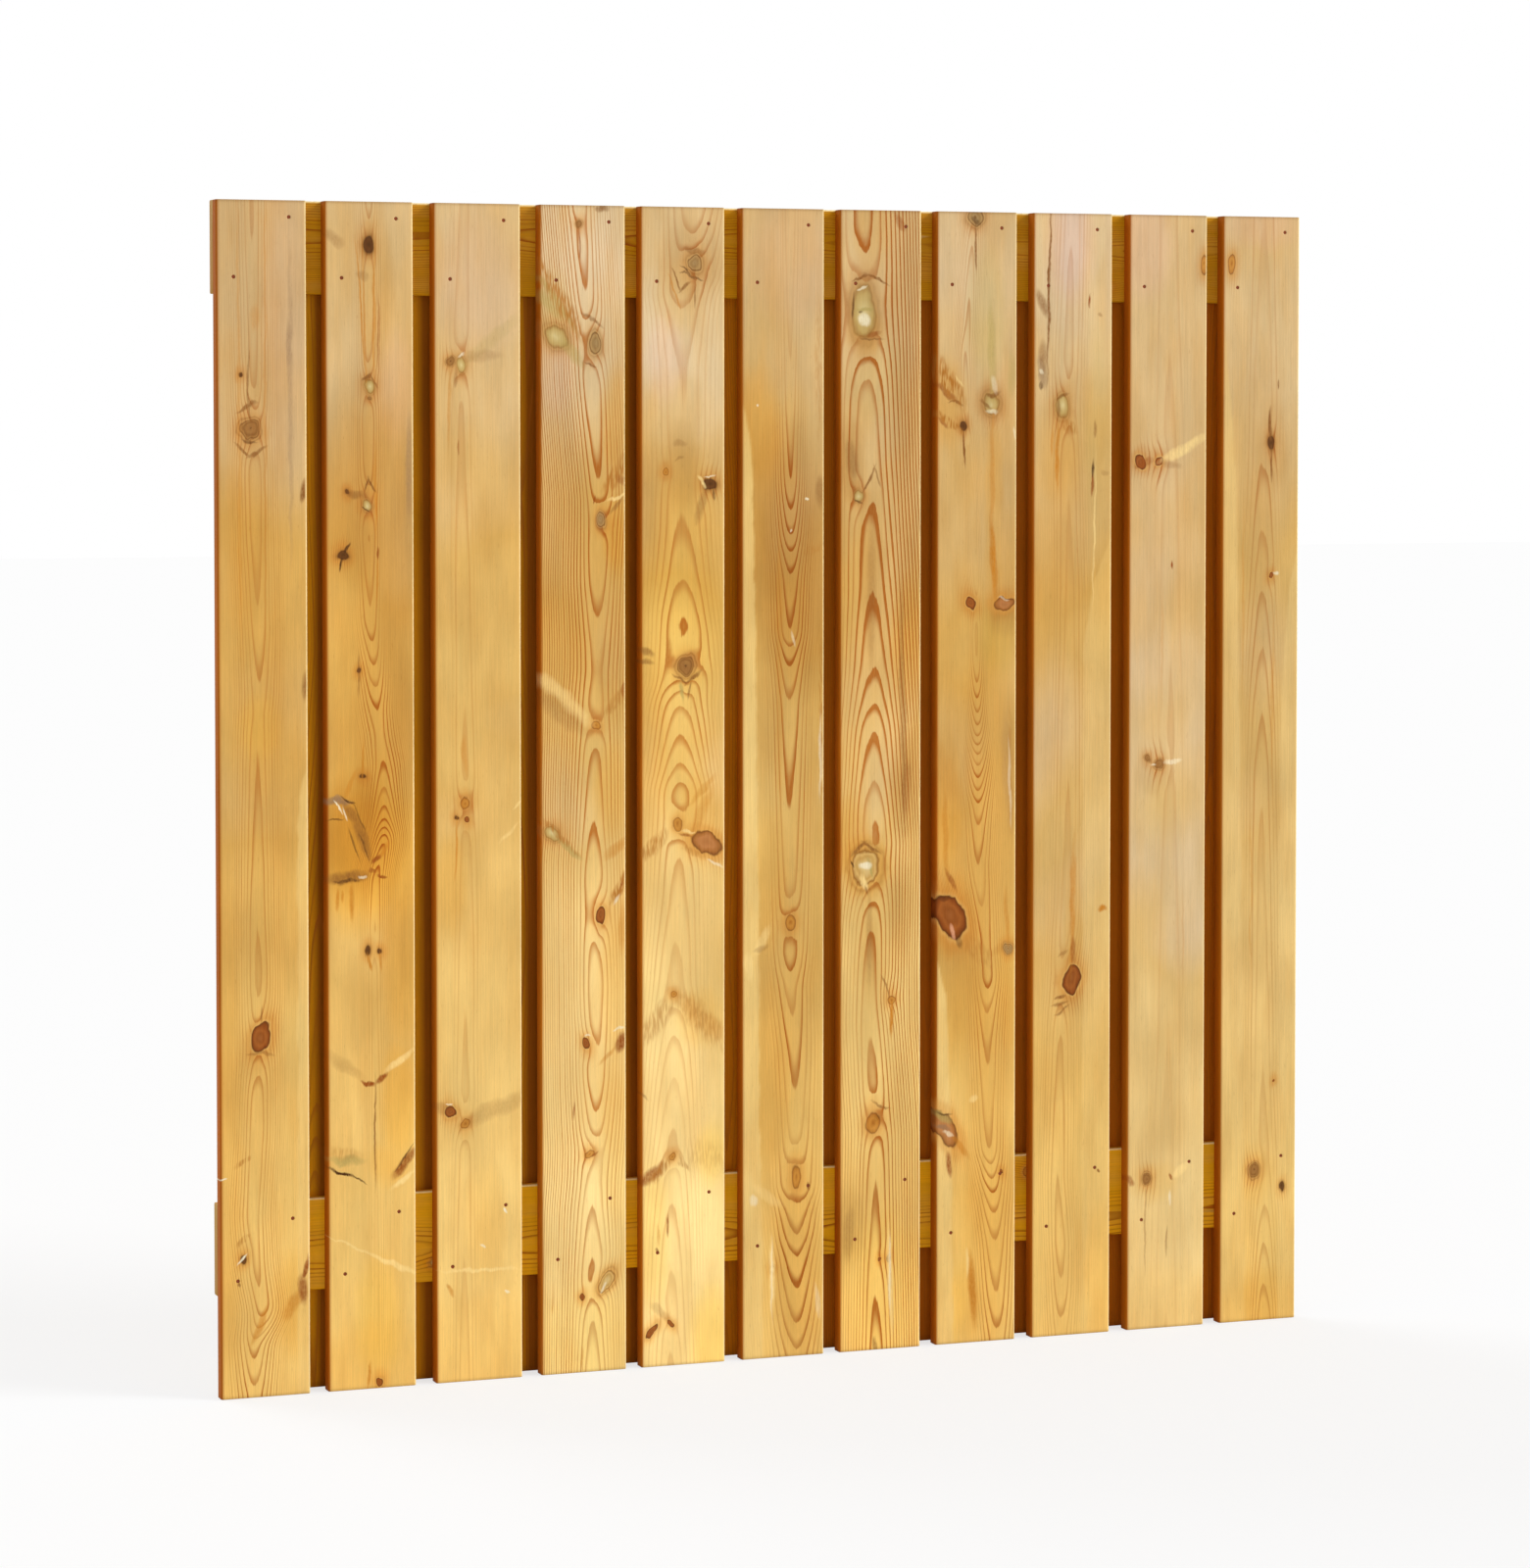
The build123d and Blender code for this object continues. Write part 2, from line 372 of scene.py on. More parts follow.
BOARD_4 = plank(
    heights=[
        0, 180, 255, 300, 350, 400, 455, 600, 775, 845, 1000, 1047, 1085, 1125,
        1225, 1350, 1495, 1600, 1800,
    ],
    middles=[14, 14, 14, 17, 20, 20, 20, 20, 17, 17, 20, 20, 22, 23, 23, 28, 17, 10, -5],
    rings=[9.2, 11, 12, 12.4, 12, 11, 10, 9.2, 10, 10.8, 12.0, 12.4, 12.7, 12.4, 11.2, 10.2, 9.2, 8.4, 7],
    spacing=3.4,
    reach=80,
    lines=[
        0.8, 0.9, 1, 1, 0.9, 0.9, 0.9, 0.8, 1, 1.2, 1.2, 1.3, 1.4, 1.4, 1.5, 1.5, 1.3, 1, 0.8,
    ],
    side=-0.5,
    light=0.0,
    warm=0.0,
    knots=[
        knot("swirl", (-5, 1770), (10, 11), lift=0.8),
        knot("pale", (-44, 1600), (42, 30), tilt=30, lift=1.6),
        knot("grey", (20, 1587), (18, 30), lift=3.2),
        knot("grey", (30, 1317), (13, 20), lift=2.4),
        knot("amber", (20, 1000), (13, 14), lift=1.6),
        knot("pale", (-50, 837), (28, 18), tilt=30, lift=1.2),
        knot("oval", (27, 709), (16, 25), lift=3.0),
        knot("oval", (4, 510), (11, 22), tilt=-20, lift=1.4),
        knot("amber", (10, 340), (14, 12), lift=1.6),
        knot("moss", (37, 141), (17, 34), tilt=35, lift=2.2),
        knot("oval", (-2, 116), (8, 8), lift=0.6),
    ],
    strokes=[
        stroke("red", (-5, 1764), (-4, 1716), wide=3, amount=0.7),
        stroke("brown", (24, 1795), (40, 1794), wide=9, amount=0.7),
        stroke("comb", (-68, 1716), (-50, 1676), wide=9, amount=0.8),
        stroke("comb", (-60, 1690), (-6, 1606), wide=22, amount=0.8),
        stroke("moss", (-66, 1684), (-14, 1612), wide=9, amount=0.6),
        stroke("moss", (-66, 1660), (-36, 1632), wide=18, amount=0.5),
        stroke("moss", (-30, 1590), (-4, 1560), wide=16, amount=0.5),
        stroke("brown", (2, 1632), (30, 1616), wide=5, amount=0.6),
        stroke("brown", (6, 1560), (20, 1552), wide=3, amount=0.7),
        stroke("comb", (40, 1366), (70, 1414), wide=16, amount=0.9),
        stroke("red", (54, 1384), (70, 1374), wide=12, amount=0.5),
        stroke("yellow", (44, 1348), (66, 1358), wide=5, amount=0.7),
        stroke("brown", (46, 1330), (60, 1350), wide=6, amount=0.5),
        stroke("red", (18, 1340), (21, 1352), wide=3, amount=0.8),
        stroke("yellow", (-68, 1076), (-22, 1042), wide=20, amount=0.45),
        stroke("yellow", (-34, 1050), (6, 1008), wide=18, amount=0.4),
        stroke("brown", (-66, 1050), (-10, 1000), wide=26, amount=0.3),
        stroke("comb", (68, 1056), (36, 1022), wide=14, amount=0.5),
        stroke("red", (68, 1066), (64, 1048), wide=8, amount=0.7),
        stroke("comb", (-68, 862), (-14, 812), wide=8, amount=0.7),
        stroke("moss", (-36, 826), (-8, 802), wide=9, amount=0.6),
        stroke("amber", (68, 820), (40, 800), wide=13, amount=0.5),
        stroke("comb", (68, 770), (48, 732), wide=14, amount=0.9),
        stroke("red", (68, 774), (56, 744), wide=5, amount=0.8),
        stroke("white", (50, 724), (58, 742), wide=5, amount=0.5),
        stroke("amber", (62, 720), (62, 660), wide=10, amount=0.45),
        stroke("red", (64, 524), (56, 500), wide=17, amount=0.95),
        stroke("white", (50, 530), (66, 534), wide=4, amount=0.6),
        stroke("amber", (48, 502), (30, 480), wide=6, amount=0.5),
        stroke("white", (2, 524), (10, 524), wide=4, amount=0.6),
        stroke("red", (-15, 422), (-16, 392), wide=4, amount=0.6),
        stroke("red", (14, 336), (22, 340), wide=5, amount=0.6),
        stroke("white", (28, 126), (36, 138), wide=4, amount=0.6),
        stroke("yellow", (-52, 176), (-50, 120), wide=20, amount=0.5),
        stroke("amber", (-51, 140), (-52, 98), wide=3, amount=0.6),
        stroke("amber", (-4, 36), (-4, 4), wide=3, amount=0.5),
    ],
    zones=[
        zone("pale", (0, 620), (200, 480), amount=0.75),
        zone("pale", (10, 1700), (110, 160), amount=0.5),
        zone("moss", (-50, 1640), (60, 110), amount=0.5),
        zone("pink", (-44, 1540), (60, 120), amount=0.6),
        zone("glow", (52, 1470), (44, 150), amount=0.8),
        zone("glow", (56, 1290), (44, 110), amount=0.7),
        zone("glow", (-35, 1130), (80, 170), amount=0.4),
        zone("shade", (50, 1090), (50, 180), amount=0.25),
        zone("glow", (45, 900), (50, 140), amount=0.5),
        zone("pale", (-10, 540), (120, 520), amount=0.75),
        zone("glow", (50, 600), (44, 260), amount=0.5),
        zone("glow", (50, 380), (50, 260), amount=0.4),
        zone("pale", (-20, 260), (100, 360), amount=0.6),
        zone("milky", (-10, 400), (240, 1300), amount=0.8),
        zone("milky", (0, 1700), (240, 500), amount=0.35),
        zone("gold", (0, 60), (160, 160), amount=0.4),
    ],
)

BOARD_5 = plank(
    heights=[
        0, 200, 300, 345, 500, 579, 600, 720, 900, 925, 967, 1032, 1070, 1147, 1172,
        1228, 1300, 1400, 1560, 1640, 1667, 1690, 1800,
    ],
    middles=[
        -20, -20, -18, -18, -14, -14, -14, -8, -4, -4, -4, -4, 4, 2, 0,
        0, 0, 0, 0, 0, 0, 8, 18,
    ],
    rings=[
        16, 17.4, 18.4, 19.6, 21.6, 23.2, 23.6, 24.6, 25.6, 26.6, 27.6, 28.8, 29.6, 30.6, 31,
        32, 32.8, 33.2, 32.8, 32, 31.2, 30.6, 29,
    ],
    spacing=3.2,
    reach=44,
    lines=[
        0.3, 0.3, 0.35, 0.35, 0.35, 0.35, 0.35, 0.4, 0.75, 0.8, 0.85, 0.9, 0.9, 0.8, 0.8,
        0.7, 0.55, 0.3, 0.3, 0.5, 0.7, 0.7, 0.4,
    ],
    light=0.015,
    warm=0.0,
    knots=[
        knot("grey", (20, 1714), (24, 26), lift=2.6),
        knot("amber", (-28, 1392), (9, 12), lift=0.6),
        knot("dark", (45, 1373), (23, 18), tilt=20, lift=1.8),
        knot("swirl", (4, 1091), (26, 30), lift=3.6),
        knot("amber", (-9, 846), (14, 17), lift=1.8),
        knot("pink", (39, 813), (30, 54), tilt=-62, lift=1.6),
        knot("amber", (-14, 580), (10, 10), lift=0.8),
        knot("amber", (-18, 326), (9, 9), lift=0.8),
        knot("oval", (-53, 55), (11, 26), tilt=42, lift=0.8),
        knot("oval", (-22, 67), (8, 15), tilt=-40, lift=0.6),
    ],
    strokes=[
        stroke("brown", (8, 1736), (32, 1732), wide=10, amount=0.55),
        stroke("dark", (-4, 1706), (20, 1690), wide=4, amount=0.6),
        stroke("dark", (-6, 1698), (14, 1694), wide=3, amount=0.55),
        stroke("dark", (14, 1694), (32, 1690), wide=4, amount=0.5),
        stroke("brown", (-16, 1700), (-4, 1672), wide=3, amount=0.7),
        stroke("brown", (-4, 1670), (10, 1684), wide=4, amount=0.7),
        stroke("amber", (-22, 1690), (-6, 1650), wide=3, amount=0.6),
        stroke("brown", (20, 1674), (22, 1648), wide=3, amount=0.6),
        stroke("brown", (-12, 1436), (2, 1434), wide=9, amount=0.3),
        stroke("brown", (-10, 1410), (0, 1414), wide=4, amount=0.35),
        stroke("dark", (50, 1364), (52, 1346), wide=5, amount=0.6),
        stroke("yellow", (28, 1382), (36, 1372), wide=5, amount=0.8),
        stroke("white", (36, 1384), (54, 1386), wide=3, amount=0.6),
        stroke("brown", (36, 1360), (24, 1320), wide=12, amount=0.4),
        stroke("brown", (-14, 1076), (6, 1064), wide=4, amount=0.75),
        stroke("brown", (6, 1064), (26, 1080), wide=5, amount=0.75),
        stroke("moss", (-4, 1062), (0, 1040), wide=6, amount=0.7),
        stroke("brown", (14, 1062), (10, 1042), wide=4, amount=0.6),
        stroke("brown", (-66, 1116), (-50, 1108), wide=8, amount=0.6),
        stroke("brown", (-68, 1100), (-52, 1098), wide=8, amount=0.6),
        stroke("amber", (16, 880), (48, 912), wide=9, amount=0.4),
        stroke("amber", (18, 836), (44, 890), wide=14, amount=0.35),
        stroke("red", (-6, 832), (12, 828), wide=7, amount=0.6),
        stroke("yellow", (0, 838), (16, 834), wide=4, amount=0.7),
        stroke("comb", (2, 808), (30, 796), wide=10, amount=0.45),
        stroke("comb", (-70, 796), (-34, 826), wide=20, amount=0.7),
        stroke("white", (40, 786), (64, 776), wide=6, amount=0.5),
        stroke("comb", (-70, 508), (-18, 574), wide=26, amount=0.5),
        stroke("comb", (-6, 576), (68, 500), wide=34, amount=0.42),
        stroke("amber", (-8, 574), (66, 510), wide=24, amount=0.3),
        stroke("red", (-72, 286), (-34, 312), wide=20, amount=0.75),
        stroke("comb", (-50, 292), (-22, 322), wide=14, amount=0.7),
        stroke("comb", (-12, 326), (10, 306), wide=9, amount=0.6),
        stroke("comb", (14, 330), (66, 316), wide=44, amount=0.22),
        stroke("red", (-24, 238), (-25, 202), wide=4, amount=0.75),
        stroke("brown", (-44, 182), (-42, 178), wide=4, amount=0.7),
        stroke("amber", (-42, 216), (-40, 190), wide=5, amount=0.4),
        stroke("brown", (-50, 92), (-26, 76), wide=12, amount=0.3),
        stroke("brown", (-68, 430), (-60, 420), wide=4, amount=0.4),
    ],
    zones=[
        zone("pale", (0, 900), (200, 300), amount=0.7),
        zone("pale", (0, 50), (200, 170), amount=0.6),
        zone("shade", (16, 1716), (90, 120), amount=0.55),
        zone("glow", (-10, 1660), (70, 110), amount=0.5),
        zone("pink", (-30, 1565), (60, 130), amount=0.7),
        zone("glow", (-10, 1500), (100, 90), amount=0.3),
        zone("shade", (-5, 1395), (56, 130), amount=0.55),
        zone("shade", (-46, 1330), (50, 200), amount=0.35),
        zone("gold", (0, 1190), (150, 420), amount=0.8),
        zone("gold", (0, 960), (80, 260), amount=0.6),
        zone("glow", (-50, 960), (50, 300), amount=0.4),
        zone("glow", (30, 850), (70, 130), amount=0.5),
        zone("pale", (0, 690), (150, 200), amount=0.6),
        zone("glow", (30, 540), (80, 80), amount=0.4),
        zone("pale", (-10, 430), (150, 240), amount=0.8),
        zone("gold", (46, 330), (50, 90), amount=0.7),
        zone("pale", (20, 220), (110, 190), amount=0.7),
        zone("gold", (-50, 200), (50, 200), amount=0.5),
        zone("gold", (48, 40), (70, 150), amount=0.9),
        zone("milky", (0, 440), (240, 1300), amount=0.75),
        zone("milky", (0, 1570), (200, 240), amount=0.5),
    ],
)

BOARD_6 = plank(
    heights=[
        0, 57, 112, 160, 190, 230, 250, 265, 400, 485, 590, 610, 645, 760, 905, 1032,
        1085, 1117, 1135, 1230, 1265, 1290, 1330, 1375, 1500, 1800,
    ],
    middles=[
        22, 22, 22, 22, 22, 22, 22, 22, 21, 20, 13, 13, 13, 13, 12, 12,
        12, 12, 12, 12, 12, 12, 12, 12, 12, 12,
    ],
    rings=[
        28.4, 27, 26, 25, 24, 23, 22, 21, 20.2, 19.6, 18.6, 18, 17.2, 16.6, 15.8, 15,
        14, 13, 12, 11, 10, 9, 8, 7, 6.2, 5.2,
    ],
    spacing=2.9,
    reach=30,
    lines=[
        0.95, 1, 1, 1, 1, 1, 1, 0.9, 0.55, 0.7, 0.8, 0.85, 0.8, 0.6, 0.85, 0.8,
        0.9, 0.95, 0.95, 1, 1, 1, 0.95, 0.8, 0.35, 0.2,
    ],
    light=-0.02,
    warm=0.3,
    knots=[
        knot("amber", (13, 682), (14, 24), lift=2.4),
        knot("amber", (22, 284), (16, 36), lift=2.6),
        knot("moss", (-17, 142), (8, 13), lift=0.8),
    ],
    strokes=[
        stroke("white", (38, 1350), (42, 1349), wide=5, amount=0.8),
        stroke("white", (12, 1300), (14, 1298), wide=4, amount=0.5),
        stroke("white", (-42, 1496), (-40, 1494), wide=4, amount=0.8),
        stroke("comb", (60, 1640), (60, 1460), wide=12, amount=0.3),
        stroke("brown", (62, 1378), (62, 1340), wide=14, amount=0.45),
        stroke("comb", (60, 1270), (40, 1262), wide=12, amount=0.3),
        stroke("comb", (64, 1120), (66, 860), wide=7, amount=0.6),
        stroke("white", (63, 1010), (62, 880), wide=6, amount=0.4),
        stroke("white", (14, 1140), (20, 1118), wide=5, amount=0.35),
        stroke("yellow", (-44, 640), (-26, 670), wide=14, amount=0.45),
        stroke("brown", (-46, 640), (-28, 646), wide=8, amount=0.35),
        stroke("yellow", (-58, 630), (-56, 600), wide=12, amount=0.5),
        stroke("white", (-50, 256), (-48, 244), wide=14, amount=0.5),
        stroke("yellow", (-44, 270), (-10, 244), wide=14, amount=0.35),
        stroke("yellow", (-19, 176), (-16, 90), wide=9, amount=0.8),
        stroke("white", (-18, 190), (-18, 60), wide=4, amount=0.45),
        stroke("white", (56, 110), (62, 60), wide=10, amount=0.3),
        stroke("brown", (42, 272), (42, 262), wide=4, amount=0.7),
        stroke("amber", (-5, 1300), (-6, 900), wide=10, amount=0.25),
    ],
    zones=[
        zone("glow", (-40, 1460), (70, 170), amount=0.75),
        zone("gold", (0, 1440), (150, 150), amount=0.4),
        zone("shade", (16, 1250), (170, 400), amount=0.85),
        zone("shade", (16, 400), (150, 900), amount=0.2),
        zone("milky", (0, 860), (160, 420), amount=0.3),
        zone("shade", (-30, 1340), (50, 90), amount=0.4),
        zone("shade", (60, 1350), (36, 100), amount=0.5),
        zone("shade", (-20, 1050), (60, 260), amount=0.4),
        zone("shade", (20, 960), (100, 260), amount=0.2),
        zone("glow", (-25, 760), (60, 200), amount=0.45),
        zone("glow", (-20, 430), (70, 300), amount=0.4),
        zone("shade", (40, 450), (60, 300), amount=0.3),
        zone("shade", (30, 130), (90, 330), amount=0.45),
        zone("glow", (30, 160), (100, 330), amount=0.35),
        zone("pink", (20, 1720), (140, 180), amount=0.6),
    ],
    strips=[
        sapwood(
            side=-1, heights=[0, 600, 1000, 1400, 1480, 1500], edges=[-34, -40, -44, -50, -60, -72],
            amount=0.9,
        )
    ],
)

BOARD_7 = plank(
    heights=[0, 182, 345, 517, 600, 805, 830, 865, 910, 985, 1025, 1082, 1200, 1400, 1800],
    middles=[-6, -7, -6, -18, -18, -12, -12, -12, -12, -12, -12, -12, -14, -22, -30],
    rings=[6.4, 7.6, 8.4, 9.2, 9.6, 10.4, 11.2, 12.1, 13, 14, 15, 16, 17, 18, 19.4],
    spacing=3.9,
    reach=110,
    lines=[1.1, 1.1, 1, 1, 1.1, 1.3, 1.3, 1.3, 1.4, 1.4, 1.4, 1.5, 1.6, 1.6, 1.5],
    side=0.6,
    light=0.0,
    warm=-0.1,
    knots=[
        knot("pale", (-29, 1640), (42, 84), lift=4.6),
        knot("pale", (-37, 1352), (16, 18), lift=2.0),
        knot("moss", (-25, 768), (46, 54), lift=4.0),
        knot("amber", (20, 558), (14, 15), lift=2.4),
        knot("dark", (-6, 371), (11, 12), lift=1.4),
        knot("amber", (-12, 362), (24, 34), lift=1.4),
        knot("oval", (15, 142), (8, 13), lift=1.0),
        knot("oval", (0, 144), (5, 6), lift=0.3),
    ],
    strokes=[
        stroke("white", (-34, 1630), (-22, 1624), wide=18, amount=0.75),
        stroke("moss", (-38, 1644), (-16, 1642), wide=6, amount=0.7),
        stroke("dark", (-36, 1640), (-32, 1638), wide=5, amount=0.6),
        stroke("dark", (-44, 1672), (-48, 1630), wide=4, amount=0.6),
        stroke("brown", (-44, 1690), (-22, 1698), wide=4, amount=0.8),
        stroke("brown", (-22, 1698), (10, 1686), wide=4, amount=0.8),
        stroke("white", (-38, 1674), (-24, 1680), wide=4, amount=0.6),
        stroke("red", (-24, 1604), (0, 1608), wide=9, amount=0.5),
        stroke("dark", (-36, 1598), (4, 1598), wide=4, amount=0.4),
        stroke("red", (26, 1795), (38, 1770), wide=12, amount=0.5),
        stroke("brown", (-52, 1430), (-48, 1390), wide=18, amount=0.4),
        stroke("brown", (-30, 1362), (-10, 1396), wide=3, amount=0.8),
        stroke("brown", (-10, 1398), (-2, 1370), wide=3, amount=0.6),
        stroke("dark", (-44, 1346), (-30, 1340), wide=4, amount=0.6),
        stroke("brown", (-16, 1300), (-16, 1100), wide=14, amount=0.3),
        stroke("brown", (36, 1180), (40, 860), wide=9, amount=0.45),
        stroke("red", (46, 930), (42, 850), wide=16, amount=0.35),
        stroke("brown", (-46, 788), (-28, 806), wide=5, amount=0.8),
        stroke("brown", (-28, 806), (-4, 790), wide=5, amount=0.8),
        stroke("dark", (-50, 778), (-44, 766), wide=4, amount=0.8),
        stroke("white", (-32, 770), (-18, 768), wide=12, amount=0.8),
        stroke("moss", (-22, 778), (-14, 756), wide=4, amount=0.8),
        stroke("yellow", (-30, 752), (-24, 734), wide=8, amount=0.8),
        stroke("brown", (-26, 738), (-22, 724), wide=4, amount=0.6),
        stroke("brown", (-18, 710), (-18, 600), wide=10, amount=0.35),
        stroke("amber", (20, 550), (20, 504), wide=6, amount=0.85),
        stroke("brown", (4, 590), (16, 564), wide=3, amount=0.6),
        stroke("brown", (-12, 392), (14, 384), wide=4, amount=0.6),
        stroke("brown", (-52, 220), (-56, 160), wide=16, amount=0.3),
        stroke("white", (17, 182), (17, 60), wide=5, amount=0.5),
        stroke("yellow", (15, 176), (20, 40), wide=9, amount=0.7),
        stroke("brown", (-10, 16), (-8, 0), wide=7, amount=0.6),
    ],
    zones=[
        zone("pale", (0, 980), (200, 320), amount=0.75),
        zone("pale", (0, 50), (200, 190), amount=0.8),
        zone("glow", (-10, 1770), (60, 140), amount=0.5),
        zone("shade", (40, 1600), (60, 560), amount=0.4),
        zone("shade", (50, 1300), (50, 360), amount=0.3),
        zone("glow", (-26, 1610), (60, 60), amount=0.6),
        zone("moss", (0, 1530), (90, 130), amount=0.3),
        zone("shade", (-50, 1410), (44, 120), amount=0.6),
        zone("shade", (-14, 1240), (40, 240), amount=0.35),
        zone("glow", (45, 1120), (50, 180), amount=0.55),
        zone("shade", (44, 890), (56, 150), amount=0.6),
        zone("glow", (-50, 820), (60, 110), amount=0.6),
        zone("gold", (-25, 770), (70, 80), amount=0.8),
        zone("pale", (30, 790), (50, 90), amount=0.6),
        zone("shade", (34, 700), (40, 160), amount=0.35),
        zone("shade", (-18, 640), (30, 140), amount=0.35),
        zone("shade", (-52, 200), (40, 120), amount=0.45),
        zone("milky", (0, 680), (200, 700), amount=0.6),
        zone("gold", (0, 80), (150, 240), amount=0.7),
    ],
)

